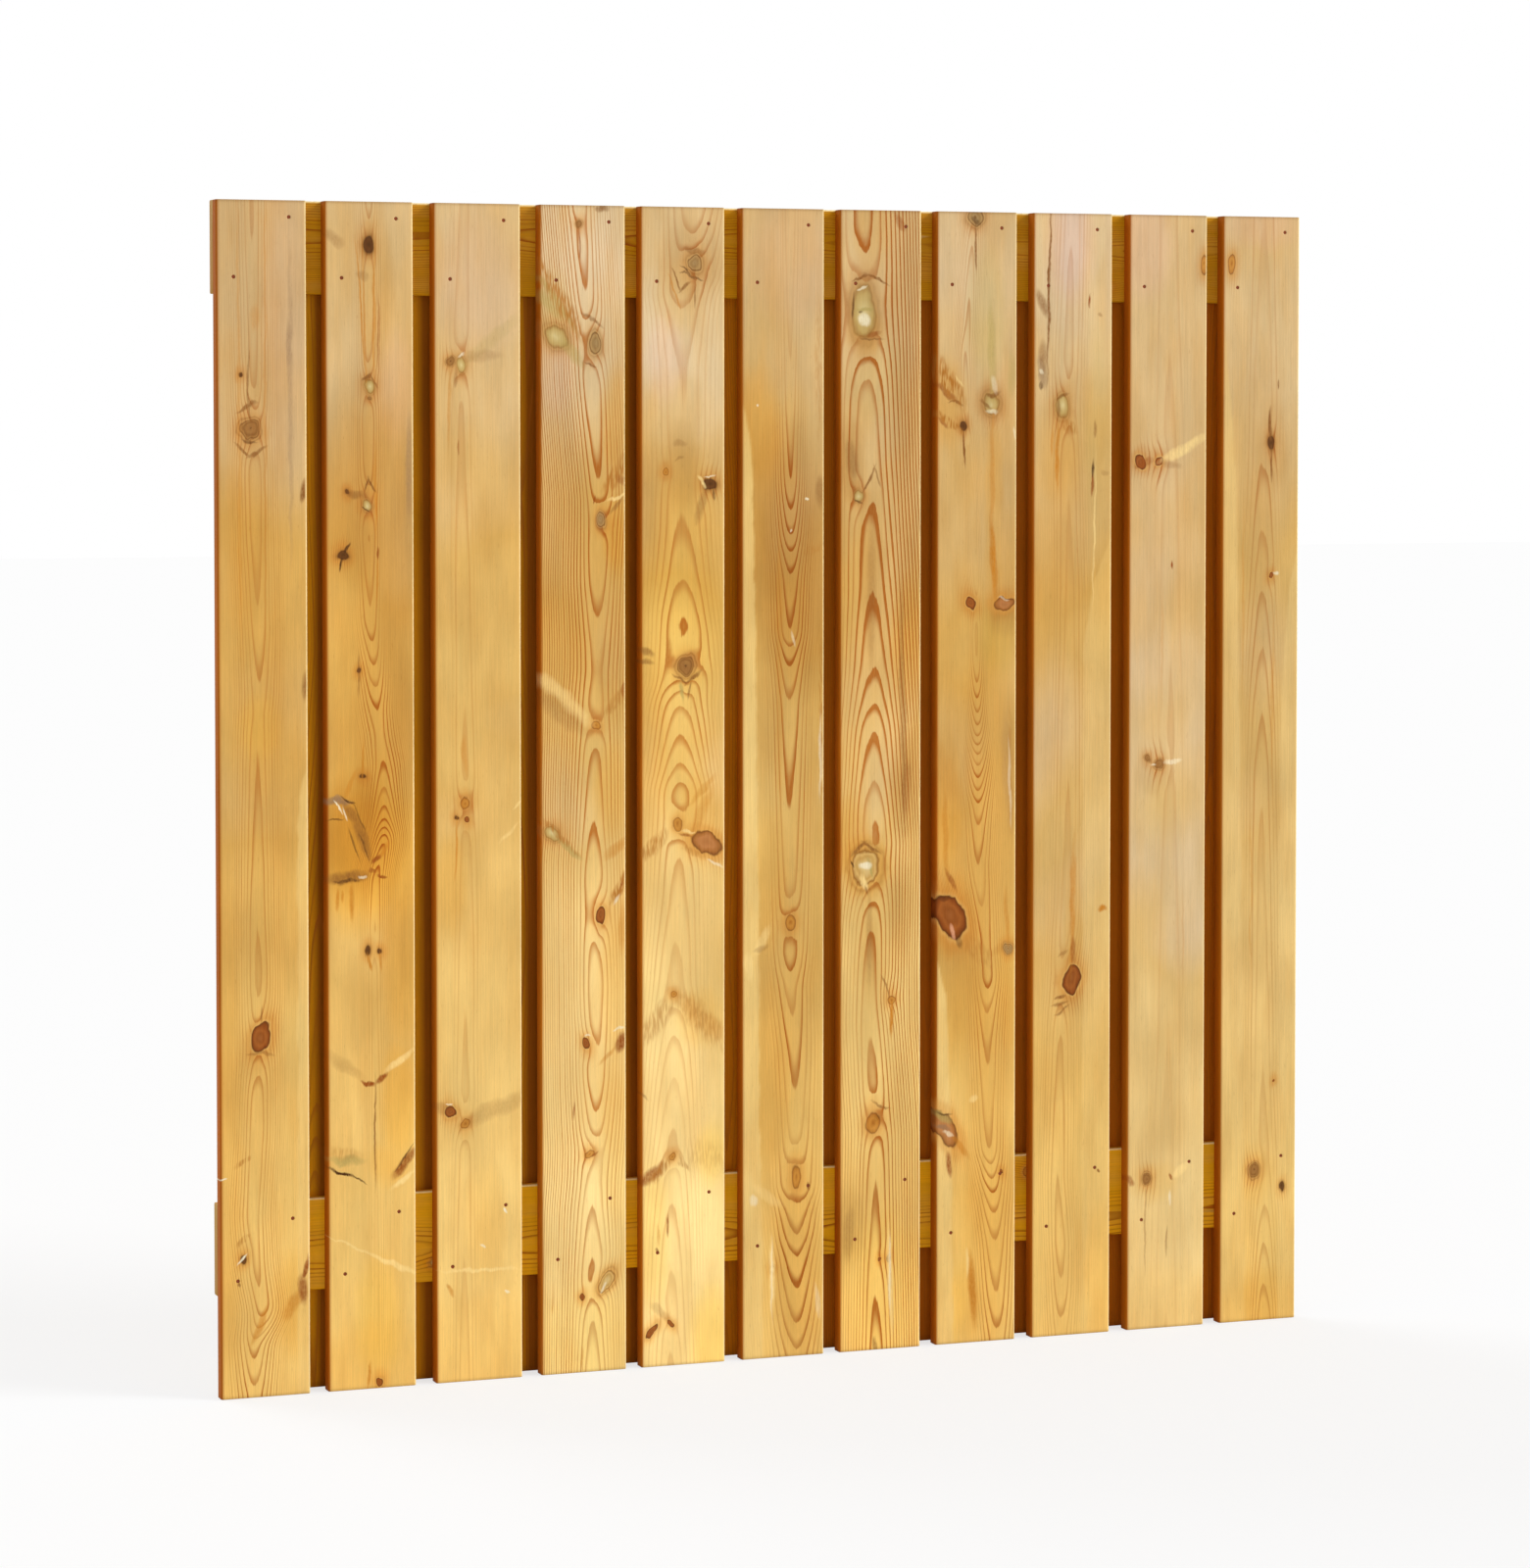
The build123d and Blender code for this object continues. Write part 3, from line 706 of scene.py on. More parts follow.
BOARD_8 = plank(
    heights=[
        0, 75, 165, 207, 240, 260, 285, 305, 400, 475, 535, 562, 582, 760, 827, 865, 880,
        902, 922, 940, 955, 967, 985, 1005, 1030, 1055, 1095, 1200, 1300, 1480, 1580, 1617, 1800,
    ],
    middles=[
        38, 36, 34, 32, 30, 28, 26, 23, 21, 20, 20, 20, 20, 4, 4, 4, 3,
        3, 3, 3, 2, 2, 2, 2, 1, 1, 0, 0, -6, -18, -20, -16, -6,
    ],
    rings=[
        30.2, 29, 28, 27, 26, 25, 24, 23, 22.3, 21.7, 20.8, 20, 19.2, 18, 17, 16, 15,
        14, 13, 12, 11, 10, 9, 8, 7, 6, 5, 4.4, 4.1, 4.8, 5.8, 6.4, 8.4,
    ],
    spacing=2.1,
    reach=[
        30, 30, 30, 30, 30, 30, 30, 30, 30, 34, 34, 34, 34, 34, 30, 28, 26, 25, 23, 21, 19, 18,
        17, 16, 14, 12, 10, 10, 14, 20, 22, 22, 22,
    ],
    lines=[
        0.7, 0.8, 0.9, 0.95, 0.95, 0.95, 0.9, 0.85, 0.5, 0.9, 0.9, 0.9, 0.85, 0.7, 0.8, 0.8, 0.8,
        0.8, 0.8, 0.8, 0.8, 0.8, 0.8, 0.8, 0.75, 0.7, 0.6, 0.3, 0.2, 0.3, 0.5, 0.5, 0.4,
    ],
    light=-0.01,
    warm=0.0,
    knots=[
        knot("grey", (-3, 1792), (26, 26), lift=1.4),
        knot("dark", (-23, 1464), (11, 14), lift=1.6),
        knot("pale", (25, 1497), (28, 34), lift=2.2),
        knot("oval", (-9, 1180), (16, 22), tilt=-20, lift=1.6),
        knot("pink", (47, 1179), (34, 22), lift=2.0),
        knot("oval", (-45, 684), (50, 76), tilt=-28, lift=4.6),
        knot("grey", (56, 630), (16, 16), lift=1.4),
        knot("pink", (-52, 345), (30, 66), tilt=-28, lift=2.6),
        knot("oval", (45, 272), (6, 6), lift=0.4),
    ],
    strokes=[
        stroke("brown", (-3, 1778), (-2, 1712), wide=3, amount=0.8),
        stroke("dark", (-8, 1790), (4, 1782), wide=8, amount=0.5),
        stroke("comb", (-68, 1562), (-30, 1504), wide=26, amount=0.95),
        stroke("red", (-68, 1530), (-36, 1500), wide=12, amount=0.7),
        stroke("brown", (-46, 1500), (-26, 1496), wide=4, amount=0.8),
        stroke("comb", (-66, 1480), (-28, 1456), wide=11, amount=0.95),
        stroke("red", (-66, 1474), (-50, 1460), wide=7, amount=0.6),
        stroke("yellow", (-34, 1540), (-24, 1524), wide=4, amount=0.6),
        stroke("brown", (-23, 1456), (-20, 1405), wide=3, amount=0.9),
        stroke("brown", (20, 1510), (38, 1514), wide=6, amount=0.7),
        stroke("white", (16, 1486), (34, 1484), wide=8, amount=0.5),
        stroke("brown", (8, 1500), (22, 1492), wide=5, amount=0.6),
        stroke("moss", (24, 1640), (27, 1515), wide=12, amount=0.5),
        stroke("white", (26, 1540), (34, 1516), wide=10, amount=0.35),
        stroke("moss", (60, 1570), (60, 1520), wide=12, amount=0.4),
        stroke("white", (64, 1460), (66, 1440), wide=4, amount=0.5),
        stroke("amber", (28, 1470), (27, 1290), wide=7, amount=0.4),
        stroke("amber", (26, 1310), (32, 1200), wide=9, amount=0.85),
        stroke("white", (38, 1190), (54, 1186), wide=4, amount=0.35),
        stroke("grey", (52, 980), (60, 840), wide=20, amount=0.22),
        stroke("comb", (58, 1000), (60, 820), wide=8, amount=0.35),
        stroke("white", (56, 965), (60, 822), wide=5, amount=0.35),
        stroke("amber", (-69, 950), (-40, 880), wide=30, amount=0.2),
        stroke("amber", (-54, 870), (-50, 740), wide=8, amount=0.5),
        stroke("red", (-52, 760), (-34, 722), wide=8, amount=0.6),
        stroke("dark", (-62, 716), (-44, 712), wide=10, amount=0.4),
        stroke("pink", (-44, 670), (-36, 652), wide=7, amount=0.8),
        stroke("dark", (-30, 652), (-26, 634), wide=10, amount=0.45),
        stroke("comb", (-12, 640), (20, 610), wide=24, amount=0.4),
        stroke("comb", (10, 616), (40, 628), wide=16, amount=0.35),
        stroke("amber", (52, 720), (56, 640), wide=7, amount=0.5),
        stroke("moss", (-64, 372), (-46, 356), wide=10, amount=0.7),
        stroke("dark", (-64, 372), (-42, 366), wide=4, amount=0.6),
        stroke("white", (-54, 340), (-40, 334), wide=7, amount=0.5),
        stroke("grey", (-64, 352), (-48, 344), wide=7, amount=0.6),
        stroke("red", (-48, 306), (-44, 272), wide=10, amount=0.75),
        stroke("amber", (-38, 330), (-14, 298), wide=8, amount=0.6),
        stroke("amber", (-8, 130), (-2, 40), wide=12, amount=0.85),
        stroke("yellow", (-14, 146), (-14, 112), wide=4, amount=0.7),
        stroke("yellow", (0, 394), (-8, 388), wide=8, amount=0.6),
    ],
    zones=[
        zone("pale", (0, 790), (190, 300), amount=0.5),
        zone("milky", (0, 370), (190, 200), amount=0.3),
        zone("blush", (0, 1740), (200, 200), amount=0.25),
        zone("moss", (16, 1640), (60, 200), amount=0.6),
        zone("glow", (-50, 1500), (60, 130), amount=0.7),
        zone("shade", (24, 1500), (50, 60), amount=0.4),
        zone("glow", (30, 1330), (30, 280), amount=0.6),
        zone("grey", (58, 1330), (34, 240), amount=0.35),
        zone("moss", (40, 1130), (70, 120), amount=0.6),
        zone("grey", (50, 1160), (50, 60), amount=0.5),
        zone("glow", (10, 1010), (80, 200), amount=0.35),
        zone("glow", (-50, 860), (60, 240), amount=0.75),
        zone("grey", (56, 920), (40, 220), amount=0.4),
        zone("glow", (-34, 690), (100, 150), amount=0.6),
        zone("glow", (-10, 500), (100, 280), amount=0.55),
        zone("glow", (50, 560), (50, 240), amount=0.6),
        zone("glow", (-20, 300), (60, 120), amount=0.35),
        zone("glow", (20, 300), (110, 620), amount=0.6),
        zone("glow", (0, 800), (150, 500), amount=0.4),
        zone("glow", (-8, 80), (50, 150), amount=0.6),
        zone("gold", (-50, 60), (60, 150), amount=0.5),
    ],
    strips=[sapwood(side=-1, heights=[0, 300, 560, 600, 620], edges=[-38, -42, -50, -62, -72], amount=1.0)],
)

BOARD_9 = plank(
    heights=[0, 80, 150, 250, 400, 518, 700, 1200, 1500, 1800],
    middles=[-16, -16, -18, -23, -20, -18, -8, -4, -10, 0],
    rings=[11.4, 10, 9.4, 9.9, 10.6, 11.0, 11.5, 12.6, 13.3, 14.2],
    spacing=2.8,
    reach=26,
    lines=[0.5, 0.5, 0.45, 0.45, 0.4, 0.4, 0.35, 0.35, 0.35, 0.3],
    light=0.01,
    warm=-0.3,
    knots=[
        knot("pale", (-18, 1492), (22, 38), lift=2.8),
        knot("oval", (2, 576), (30, 48), tilt=15, lift=3.4),
    ],
    strokes=[
        stroke("brown", (-38, 1798), (-44, 1560), wide=4, amount=0.85),
        stroke("brown", (-58, 1672), (-46, 1640), wide=13, amount=0.6),
        stroke("brown", (-52, 1590), (-50, 1560), wide=13, amount=0.5),
        stroke("grey", (-56, 1568), (-50, 1530), wide=12, amount=0.6),
        stroke("white", (-56, 1550), (-52, 1548), wide=7, amount=0.5),
        stroke("dark", (-54, 1532), (-54, 1520), wide=6, amount=0.6),
        stroke("red", (30, 1672), (30, 1652), wide=4, amount=0.85),
        stroke("brown", (46, 1640), (50, 1636), wide=6, amount=0.4),
        stroke("brown", (-26, 1504), (-10, 1512), wide=5, amount=0.6),
        stroke("brown", (-24, 1480), (-24, 1500), wide=4, amount=0.6),
        stroke("comb", (-14, 1466), (2, 1454), wide=16, amount=0.7),
        stroke("amber", (-26, 1456), (-26, 1370), wide=6, amount=0.8),
        stroke("amber", (-34, 1456), (-36, 1420), wide=4, amount=0.5),
        stroke("dark", (36, 1410), (35, 1380), wide=5, amount=0.8),
        stroke("red", (35, 1386), (33, 1354), wide=5, amount=0.8),
        stroke("brown", (40, 1470), (40, 1446), wide=4, amount=0.5),
        stroke("yellow", (40, 1400), (36, 1200), wide=3, amount=0.5),
        stroke("brown", (52, 1390), (62, 1388), wide=7, amount=0.25),
        stroke("amber", (4, 776), (0, 606), wide=8, amount=0.6),
        stroke("red", (2, 640), (4, 600), wide=10, amount=0.5),
        stroke("amber", (50, 686), (58, 684), wide=10, amount=0.9),
        stroke("brown", (-20, 612), (-8, 618), wide=4, amount=0.4),
        stroke("brown", (-26, 542), (-12, 548), wide=4, amount=0.75),
        stroke("brown", (-30, 532), (-8, 538), wide=4, amount=0.6),
        stroke("brown", (-26, 520), (-6, 530), wide=4, amount=0.6),
        stroke("brown", (48, 266), (48, 262), wide=4, amount=0.8),
    ],
    zones=[
        zone("blush", (0, 1735), (200, 240), amount=0.35),
        zone("pink", (-4, 1750), (80, 160), amount=1.0),
        zone("gold", (-52, 1740), (34, 200), amount=0.3),
        zone("gold", (40, 1700), (40, 260), amount=0.35),
        zone("glow", (-30, 1420), (70, 170), amount=0.5),
        zone("moss", (48, 1420), (50, 330), amount=0.4),
        zone("glow", (-30, 1260), (80, 240), amount=0.25),
        zone("blush", (0, 820), (220, 600), amount=0.5),
        zone("shade", (0, 1150), (220, 500), amount=0.15),
        zone("glow", (4, 660), (30, 160), amount=0.4),
        zone("shade", (6, 540), (60, 50), amount=0.3),
        zone("glow", (52, 90), (50, 220), amount=0.6),
    ],
    strips=[sapwood(side=1, heights=[0, 1100, 1200, 1300], edges=[19, 20, 34, 72], amount=0.35)],
)

BOARD_10 = plank(
    heights=[0, 400, 900, 1400, 1800],
    middles=[0, 4, 6, 4, 0],
    rings=[12.0, 12.8, 13.7, 14.6, 15.4],
    spacing=4.0,
    reach=20,
    lines=0.2,
    light=0.04,
    warm=-0.55,
    knots=[
        knot("amber", (63, 1721), (12, 30), lift=0.8),
        knot("oval", (-48, 1403), (24, 18), tilt=40, lift=1.4),
        knot("oval", (-14, 1404), (14, 18), lift=1.6),
        knot("swirl", (-35, 925), (11, 8), lift=0.8),
        knot("swirl", (-14, 916), (17, 18), lift=1.6),
        knot("swirl", (-34, 245), (14, 18), lift=1.6),
    ],
    strokes=[
        stroke("red", (-58, 1396), (-26, 1408), wide=12, amount=0.5),
        stroke("yellow", (-4, 1408), (58, 1440), wide=13, amount=0.6),
        stroke("brown", (-4, 1400), (20, 1396), wide=12, amount=0.3),
        stroke("red", (8, 1243), (8, 1227), wide=4, amount=0.8),
        stroke("white", (-2, 918), (22, 922), wide=10, amount=0.5),
        stroke("white", (-28, 918), (-20, 916), wide=5, amount=0.5),
        stroke("red", (-68, 246), (-58, 236), wide=11, amount=0.6),
        stroke("red", (8, 254), (12, 242), wide=6, amount=0.7),
        stroke("yellow", (18, 250), (34, 258), wide=12, amount=0.6),
        stroke("white", (8, 222), (8, 198), wide=5, amount=0.5),
        stroke("brown", (3, 160), (2, 120), wide=4, amount=0.5),
        stroke("brown", (-36, 226), (-36, 100), wide=3, amount=0.4),
        stroke("amber", (30, 700), (30, 560), wide=3, amount=0.25),
        stroke("amber", (-8, 1180), (-9, 1020), wide=3, amount=0.25),
    ],
    zones=[
        zone("pink", (-40, 1750), (90, 160), amount=0.9),
        zone("shade", (-34, 1404), (70, 60), amount=0.4),
        zone("shade", (-24, 900), (60, 60), amount=0.3),
        zone("blush", (0, 500), (260, 1400), amount=0.85),
        zone("shade", (0, 1450), (220, 800), amount=0.22),
        zone("glow", (-20, 240), (80, 60), amount=0.4),
        zone("glow", (0, 40), (160, 120), amount=0.3),
    ],
)

BOARD_11 = plank(
    heights=[0, 60, 120, 185, 400, 900, 1000, 1100, 1200, 1300, 1400, 1800],
    middles=[13, 13, 13, 13, 8, 4, 4, 4, 4, 4, 4, 4],
    rings=[8, 9, 10, 11, 12, 13.2, 14, 15, 16, 17, 17.8, 19],
    spacing=3.0,
    reach=24,
    lines=[0.55, 0.55, 0.5, 0.45, 0.35, 0.45, 0.5, 0.5, 0.5, 0.5, 0.45, 0.3],
    light=-0.02,
    warm=-0.1,
    knots=[
        knot("amber", (-53, 1722), (12, 30), lift=0.8),
        knot("dark", (19, 1432), (12, 26), lift=1.6),
        knot("oval", (19, 1215), (8, 9), lift=0.8),
        knot("oval", (28, 394), (5, 5), lift=0.4),
        knot("swirl", (-6, 247), (18, 22), lift=2.4),
        knot("dark", (45, 217), (10, 11), lift=0.8),
    ],
    strokes=[
        stroke("brown", (31, 1536), (31, 1526), wide=4, amount=0.7),
        stroke("brown", (19, 1440), (18, 1484), wide=5, amount=0.85),
        stroke("brown", (19, 1424), (20, 1376), wide=4, amount=0.8),
        stroke("white", (24, 1218), (34, 1222), wide=6, amount=0.6),
        stroke("amber", (-30, 1300), (-31, 1050), wide=4, amount=0.3),
        stroke("amber", (24, 1120), (23, 900), wide=4, amount=0.3),
        stroke("amber", (-14, 820), (-14, 560), wide=3, amount=0.3),
    ],
    zones=[
        zone("pink", (0, 1786), (120, 70), amount=0.8),
        zone("shade", (20, 1430), (60, 130), amount=0.4),
        zone("shade", (-10, 1250), (60, 420), amount=0.22),
        zone("blush", (0, 850), (240, 1100), amount=0.5),
        zone("glow", (10, 20), (150, 120), amount=0.6),
        zone("glow", (-4, 240), (60, 90), amount=0.4),
    ],
    strips=[
        sapwood(
            side=-1, heights=[0, 300, 900, 1375, 1590, 1640], edges=[-22, -26, -35, -44, -62, -72],
            amount=0.4,
        ),
        sapwood(side=1, heights=[0, 1000, 1200, 1280], edges=[36, 38, 53, 72], amount=0.4),
    ],
)

FRONT_PLANKS = (
    BOARD_1, BOARD_2, BOARD_3, BOARD_4, BOARD_5, BOARD_6, BOARD_7, BOARD_8, BOARD_9,
    BOARD_10, BOARD_11,
)

# Colours of streaks, cracks and stains, as they look in even light
STROKE_COLOURS = {
    "grey": (0.56, 0.44, 0.33),
    "moss": (0.70, 0.61, 0.34),
    "pink": (0.85, 0.60, 0.45),
    "amber": (0.78, 0.50, 0.15),
    "yellow": (0.98, 0.85, 0.56),
    "brown": (0.53, 0.33, 0.14),
    "red": (0.58, 0.29, 0.08),
    "dark": (0.30, 0.17, 0.07),
    "comb": (0.70, 0.45, 0.17),
    "white": (0.96, 0.91, 0.77),
}

# These fade out softly, the others have an edge
SOFT_STROKES = ("grey", "moss", "amber", "yellow", "brown", "comb")

# How deep the tool marks, cracks and torn fibres of each kind go, in millimetres
DEPTHS = {"dark": 0.5, "white": 0.35, "grey": 0.2, "moss": 0.3, "brown": 0.15, "red": 0.1, "comb": 0.25}

# What a soft zone multiplies the wood's linear colour by
ZONE_TINTS = {
    "glow": (1.0, 0.84, 0.50),
    "gold": (1.07, 1.02, 0.72),
    "pale": (1.12, 1.14, 1.25),
    "pink": (1.04, 1.0, 1.20),
    "moss": (0.90, 0.92, 0.68),
    "grey": (0.80, 0.78, 0.80),
    "shade": (0.76, 0.64, 0.48),
    "milky": (1.18, 1.38, 1.90),
    "blush": (1.05, 1.24, 1.95),
}

# The same for the darker, resin-soaked wood round a knot
KNOT_HALO = (0.90, 0.68, 0.46)

# A knot from its middle outward: the part of the way to its edge, the colour there
# as it looks in even light, and how well it covers the wood
KNOT_LOOKS = {
    "oval": (
        (0.0, (0.60, 0.34, 0.15), 0.95),
        (0.3, (0.55, 0.29, 0.10), 0.95),
        (0.55, (0.62, 0.34, 0.13), 0.95),
        (0.8, (0.52, 0.25, 0.07), 0.95),
        (0.95, (0.36, 0.17, 0.05), 0.95),
        (1.06, (0.88, 0.69, 0.38), 0.45),
        (1.25, (0.80, 0.55, 0.24), 0.30),
        (1.8, (0.80, 0.55, 0.24), 0.0),
    ),
    "swirl": (
        (0.0, (0.42, 0.26, 0.12), 0.95),
        (0.12, (0.60, 0.41, 0.21), 0.95),
        (0.5, (0.62, 0.43, 0.22), 0.9),
        (0.75, (0.52, 0.34, 0.16), 0.9),
        (0.9, (0.63, 0.44, 0.22), 0.85),
        (1.0, (0.45, 0.28, 0.12), 0.8),
        (1.15, (0.75, 0.55, 0.30), 0.6),
        (1.35, (0.55, 0.36, 0.16), 0.5),
        (1.5, (0.78, 0.58, 0.32), 0.3),
        (1.9, (0.78, 0.58, 0.32), 0.0),
    ),
    "dark": (
        (0.0, (0.30, 0.17, 0.06), 0.95),
        (0.5, (0.38, 0.22, 0.09), 0.95),
        (0.85, (0.29, 0.15, 0.06), 0.9),
        (1.05, (0.55, 0.36, 0.15), 0.6),
        (1.3, (0.62, 0.42, 0.20), 0.3),
        (1.8, (0.62, 0.42, 0.20), 0.0),
    ),
    "pale": (
        (0.0, (0.86, 0.79, 0.56), 0.85),
        (0.35, (0.80, 0.71, 0.46), 0.85),
        (0.7, (0.74, 0.63, 0.37), 0.8),
        (0.95, (0.57, 0.41, 0.18), 0.7),
        (1.1, (0.72, 0.54, 0.29), 0.5),
        (1.3, (0.60, 0.42, 0.20), 0.35),
        (1.5, (0.74, 0.55, 0.30), 0.2),
        (1.9, (0.74, 0.55, 0.30), 0.0),
    ),
    "moss": (
        (0.0, (0.86, 0.76, 0.52), 0.85),
        (0.3, (0.84, 0.72, 0.46), 0.9),
        (0.6, (0.76, 0.60, 0.33), 0.85),
        (0.8, (0.85, 0.70, 0.42), 0.8),
        (0.96, (0.56, 0.36, 0.14), 0.85),
        (1.12, (0.84, 0.64, 0.33), 0.5),
        (1.35, (0.64, 0.42, 0.17), 0.45),
        (1.6, (0.80, 0.60, 0.28), 0.2),
        (1.95, (0.80, 0.60, 0.28), 0.0),
    ),
    "grey": (
        (0.0, (0.48, 0.34, 0.17), 0.9),
        (0.15, (0.66, 0.54, 0.35), 0.9),
        (0.5, (0.60, 0.47, 0.28), 0.9),
        (0.8, (0.68, 0.54, 0.33), 0.8),
        (0.96, (0.42, 0.27, 0.11), 0.85),
        (1.12, (0.76, 0.60, 0.36), 0.5),
        (1.3, (0.55, 0.38, 0.18), 0.4),
        (1.6, (0.72, 0.52, 0.27), 0.2),
        (1.9, (0.72, 0.52, 0.27), 0.0),
    ),
    "pink": (
        (0.0, (0.66, 0.42, 0.23), 0.9),
        (0.5, (0.71, 0.46, 0.26), 0.9),
        (0.8, (0.63, 0.38, 0.17), 0.9),
        (0.97, (0.42, 0.22, 0.08), 0.9),
        (1.12, (0.84, 0.60, 0.28), 0.5),
        (1.5, (0.82, 0.58, 0.26), 0.35),
        (1.9, (0.82, 0.58, 0.26), 0.0),
    ),
    "amber": (
        (0.0, (0.66, 0.40, 0.12), 0.9),
        (0.5, (0.78, 0.53, 0.20), 0.8),
        (0.85, (0.70, 0.44, 0.14), 0.8),
        (0.98, (0.50, 0.28, 0.08), 0.8),
        (1.15, (0.82, 0.60, 0.30), 0.4),
        (1.8, (0.82, 0.60, 0.30), 0.0),
    ),
}

# Seen colours of the back boards' sawn sides and inner faces, from the left, partly painted shade:
# saturated, and darker towards the right, as they look in the shaded gaps
SHADED_BACK_FACES = (
    (0.94, 0.66, 0.07),
    (0.94, 0.65, 0.07),
    (0.93, 0.64, 0.07),
    (0.91, 0.61, 0.07),
    (0.86, 0.53, 0.06),
    (0.80, 0.46, 0.06),
    (0.77, 0.43, 0.06),
    (0.74, 0.41, 0.06),
    (0.77, 0.43, 0.05),
    (0.77, 0.43, 0.05),
)

# The colour of the painted highlight on the right arris, and that of the darker band at the sawn ends
PAINTED_HIGHLIGHT_COLOUR = (0.97, 0.87, 0.62)
END_BAND_COLOUR = (0.42, 0.25, 0.08)


def to_linear(colour):
    """A colour as seen on screen, turned to the linear numbers that shaders use."""
    return tuple(c / 12.92 if c <= 0.04045 else ((c + 0.055) / 1.055) ** 2.4 for c in colour)


def colour_property(name, description, default):
    seen = to_linear(default)
    return bpy.props.FloatVectorProperty(
        name=name, description=description, default=seen, size=3, subtype="COLOR", min=0, max=1
    )


def length_property(name, description, default):
    return bpy.props.FloatProperty(
        name=name, description=description, default=default, min=0.0, unit="LENGTH", precision=4
    )


class FencePanelSizes(bpy.types.PropertyGroup):
    """Sizes of the dressed timber and nails that the CAD part doesn't hold."""

    board_arris: length_property("Board arris", "Radius of a board's outer long edges", 0.003)
    rail_arris: length_property("Rail arris", "Radius of a rail's long edges", 0.003)
    end_easing: length_property("End easing", "Fuzz worn off the sawn ends", 0.0006)
    face_step: length_property("Mesh step", "Distance between mesh rows along the grain", 0.005)
    nail_head: length_property("Nail head", "Diameter of a nail's head", 0.0055)
    nail_sink: length_property("Nail sink", "How far a head lies under the face", 0.001)


class FencePanelColours(bpy.types.PropertyGroup):
    """Colours of the pine, and of the nails."""

    heart_low: colour_property("Heartwood, foot", "Golden wood near the ground", (0.945, 0.785, 0.455))
    heart_middle: colour_property("Heartwood, middle", "Honey-coloured wood", (0.83, 0.65, 0.34))
    heart_high: colour_property("Heartwood, top", "Paler, pinker wood near the top", (0.85, 0.725, 0.52))
    sap: colour_property("Sapwood", "Pale strips along an edge", (0.94, 0.80, 0.50))
    summer_line: colour_property("Summer wood", "The dark line of a growth ring", (0.67, 0.38, 0.11))
    # Partly painted shade: the sawn sides are darker and redder than the faces, as they look in the shaded
    # gaps
    shaded_side: colour_property("Sides", "Sawn sides", (0.68, 0.37, 0.05))
    bare: colour_property("Bare pine", "Inner faces, the rails' backs and sawn ends", (0.80, 0.61, 0.30))
    rail: colour_property("Upper rail", "Olive-yellow, sawn and treated", (0.77, 0.54, 0.03))
    lower_rail: colour_property("Lower rail", "Lighter than the upper one", (0.89, 0.65, 0.05))
    nail: colour_property("Nail", "Dark, rusted nail head", (0.46, 0.23, 0.10))


class FencePanelStage(bpy.types.PropertyGroup):
    """Camera and light."""

    lens: bpy.props.FloatProperty(
        name="Lens", description="Focal length", default=104.848, unit="CAMERA", min=1
    )
    key_strength: bpy.props.FloatProperty(name="Key light", description="Soft sun", default=1.9, min=0)
    sky_strength: bpy.props.FloatProperty(name="Sky", description="Even light", default=0.6, min=0)
    floor: colour_property("Floor", "Pale floor", (0.95, 0.95, 0.95))


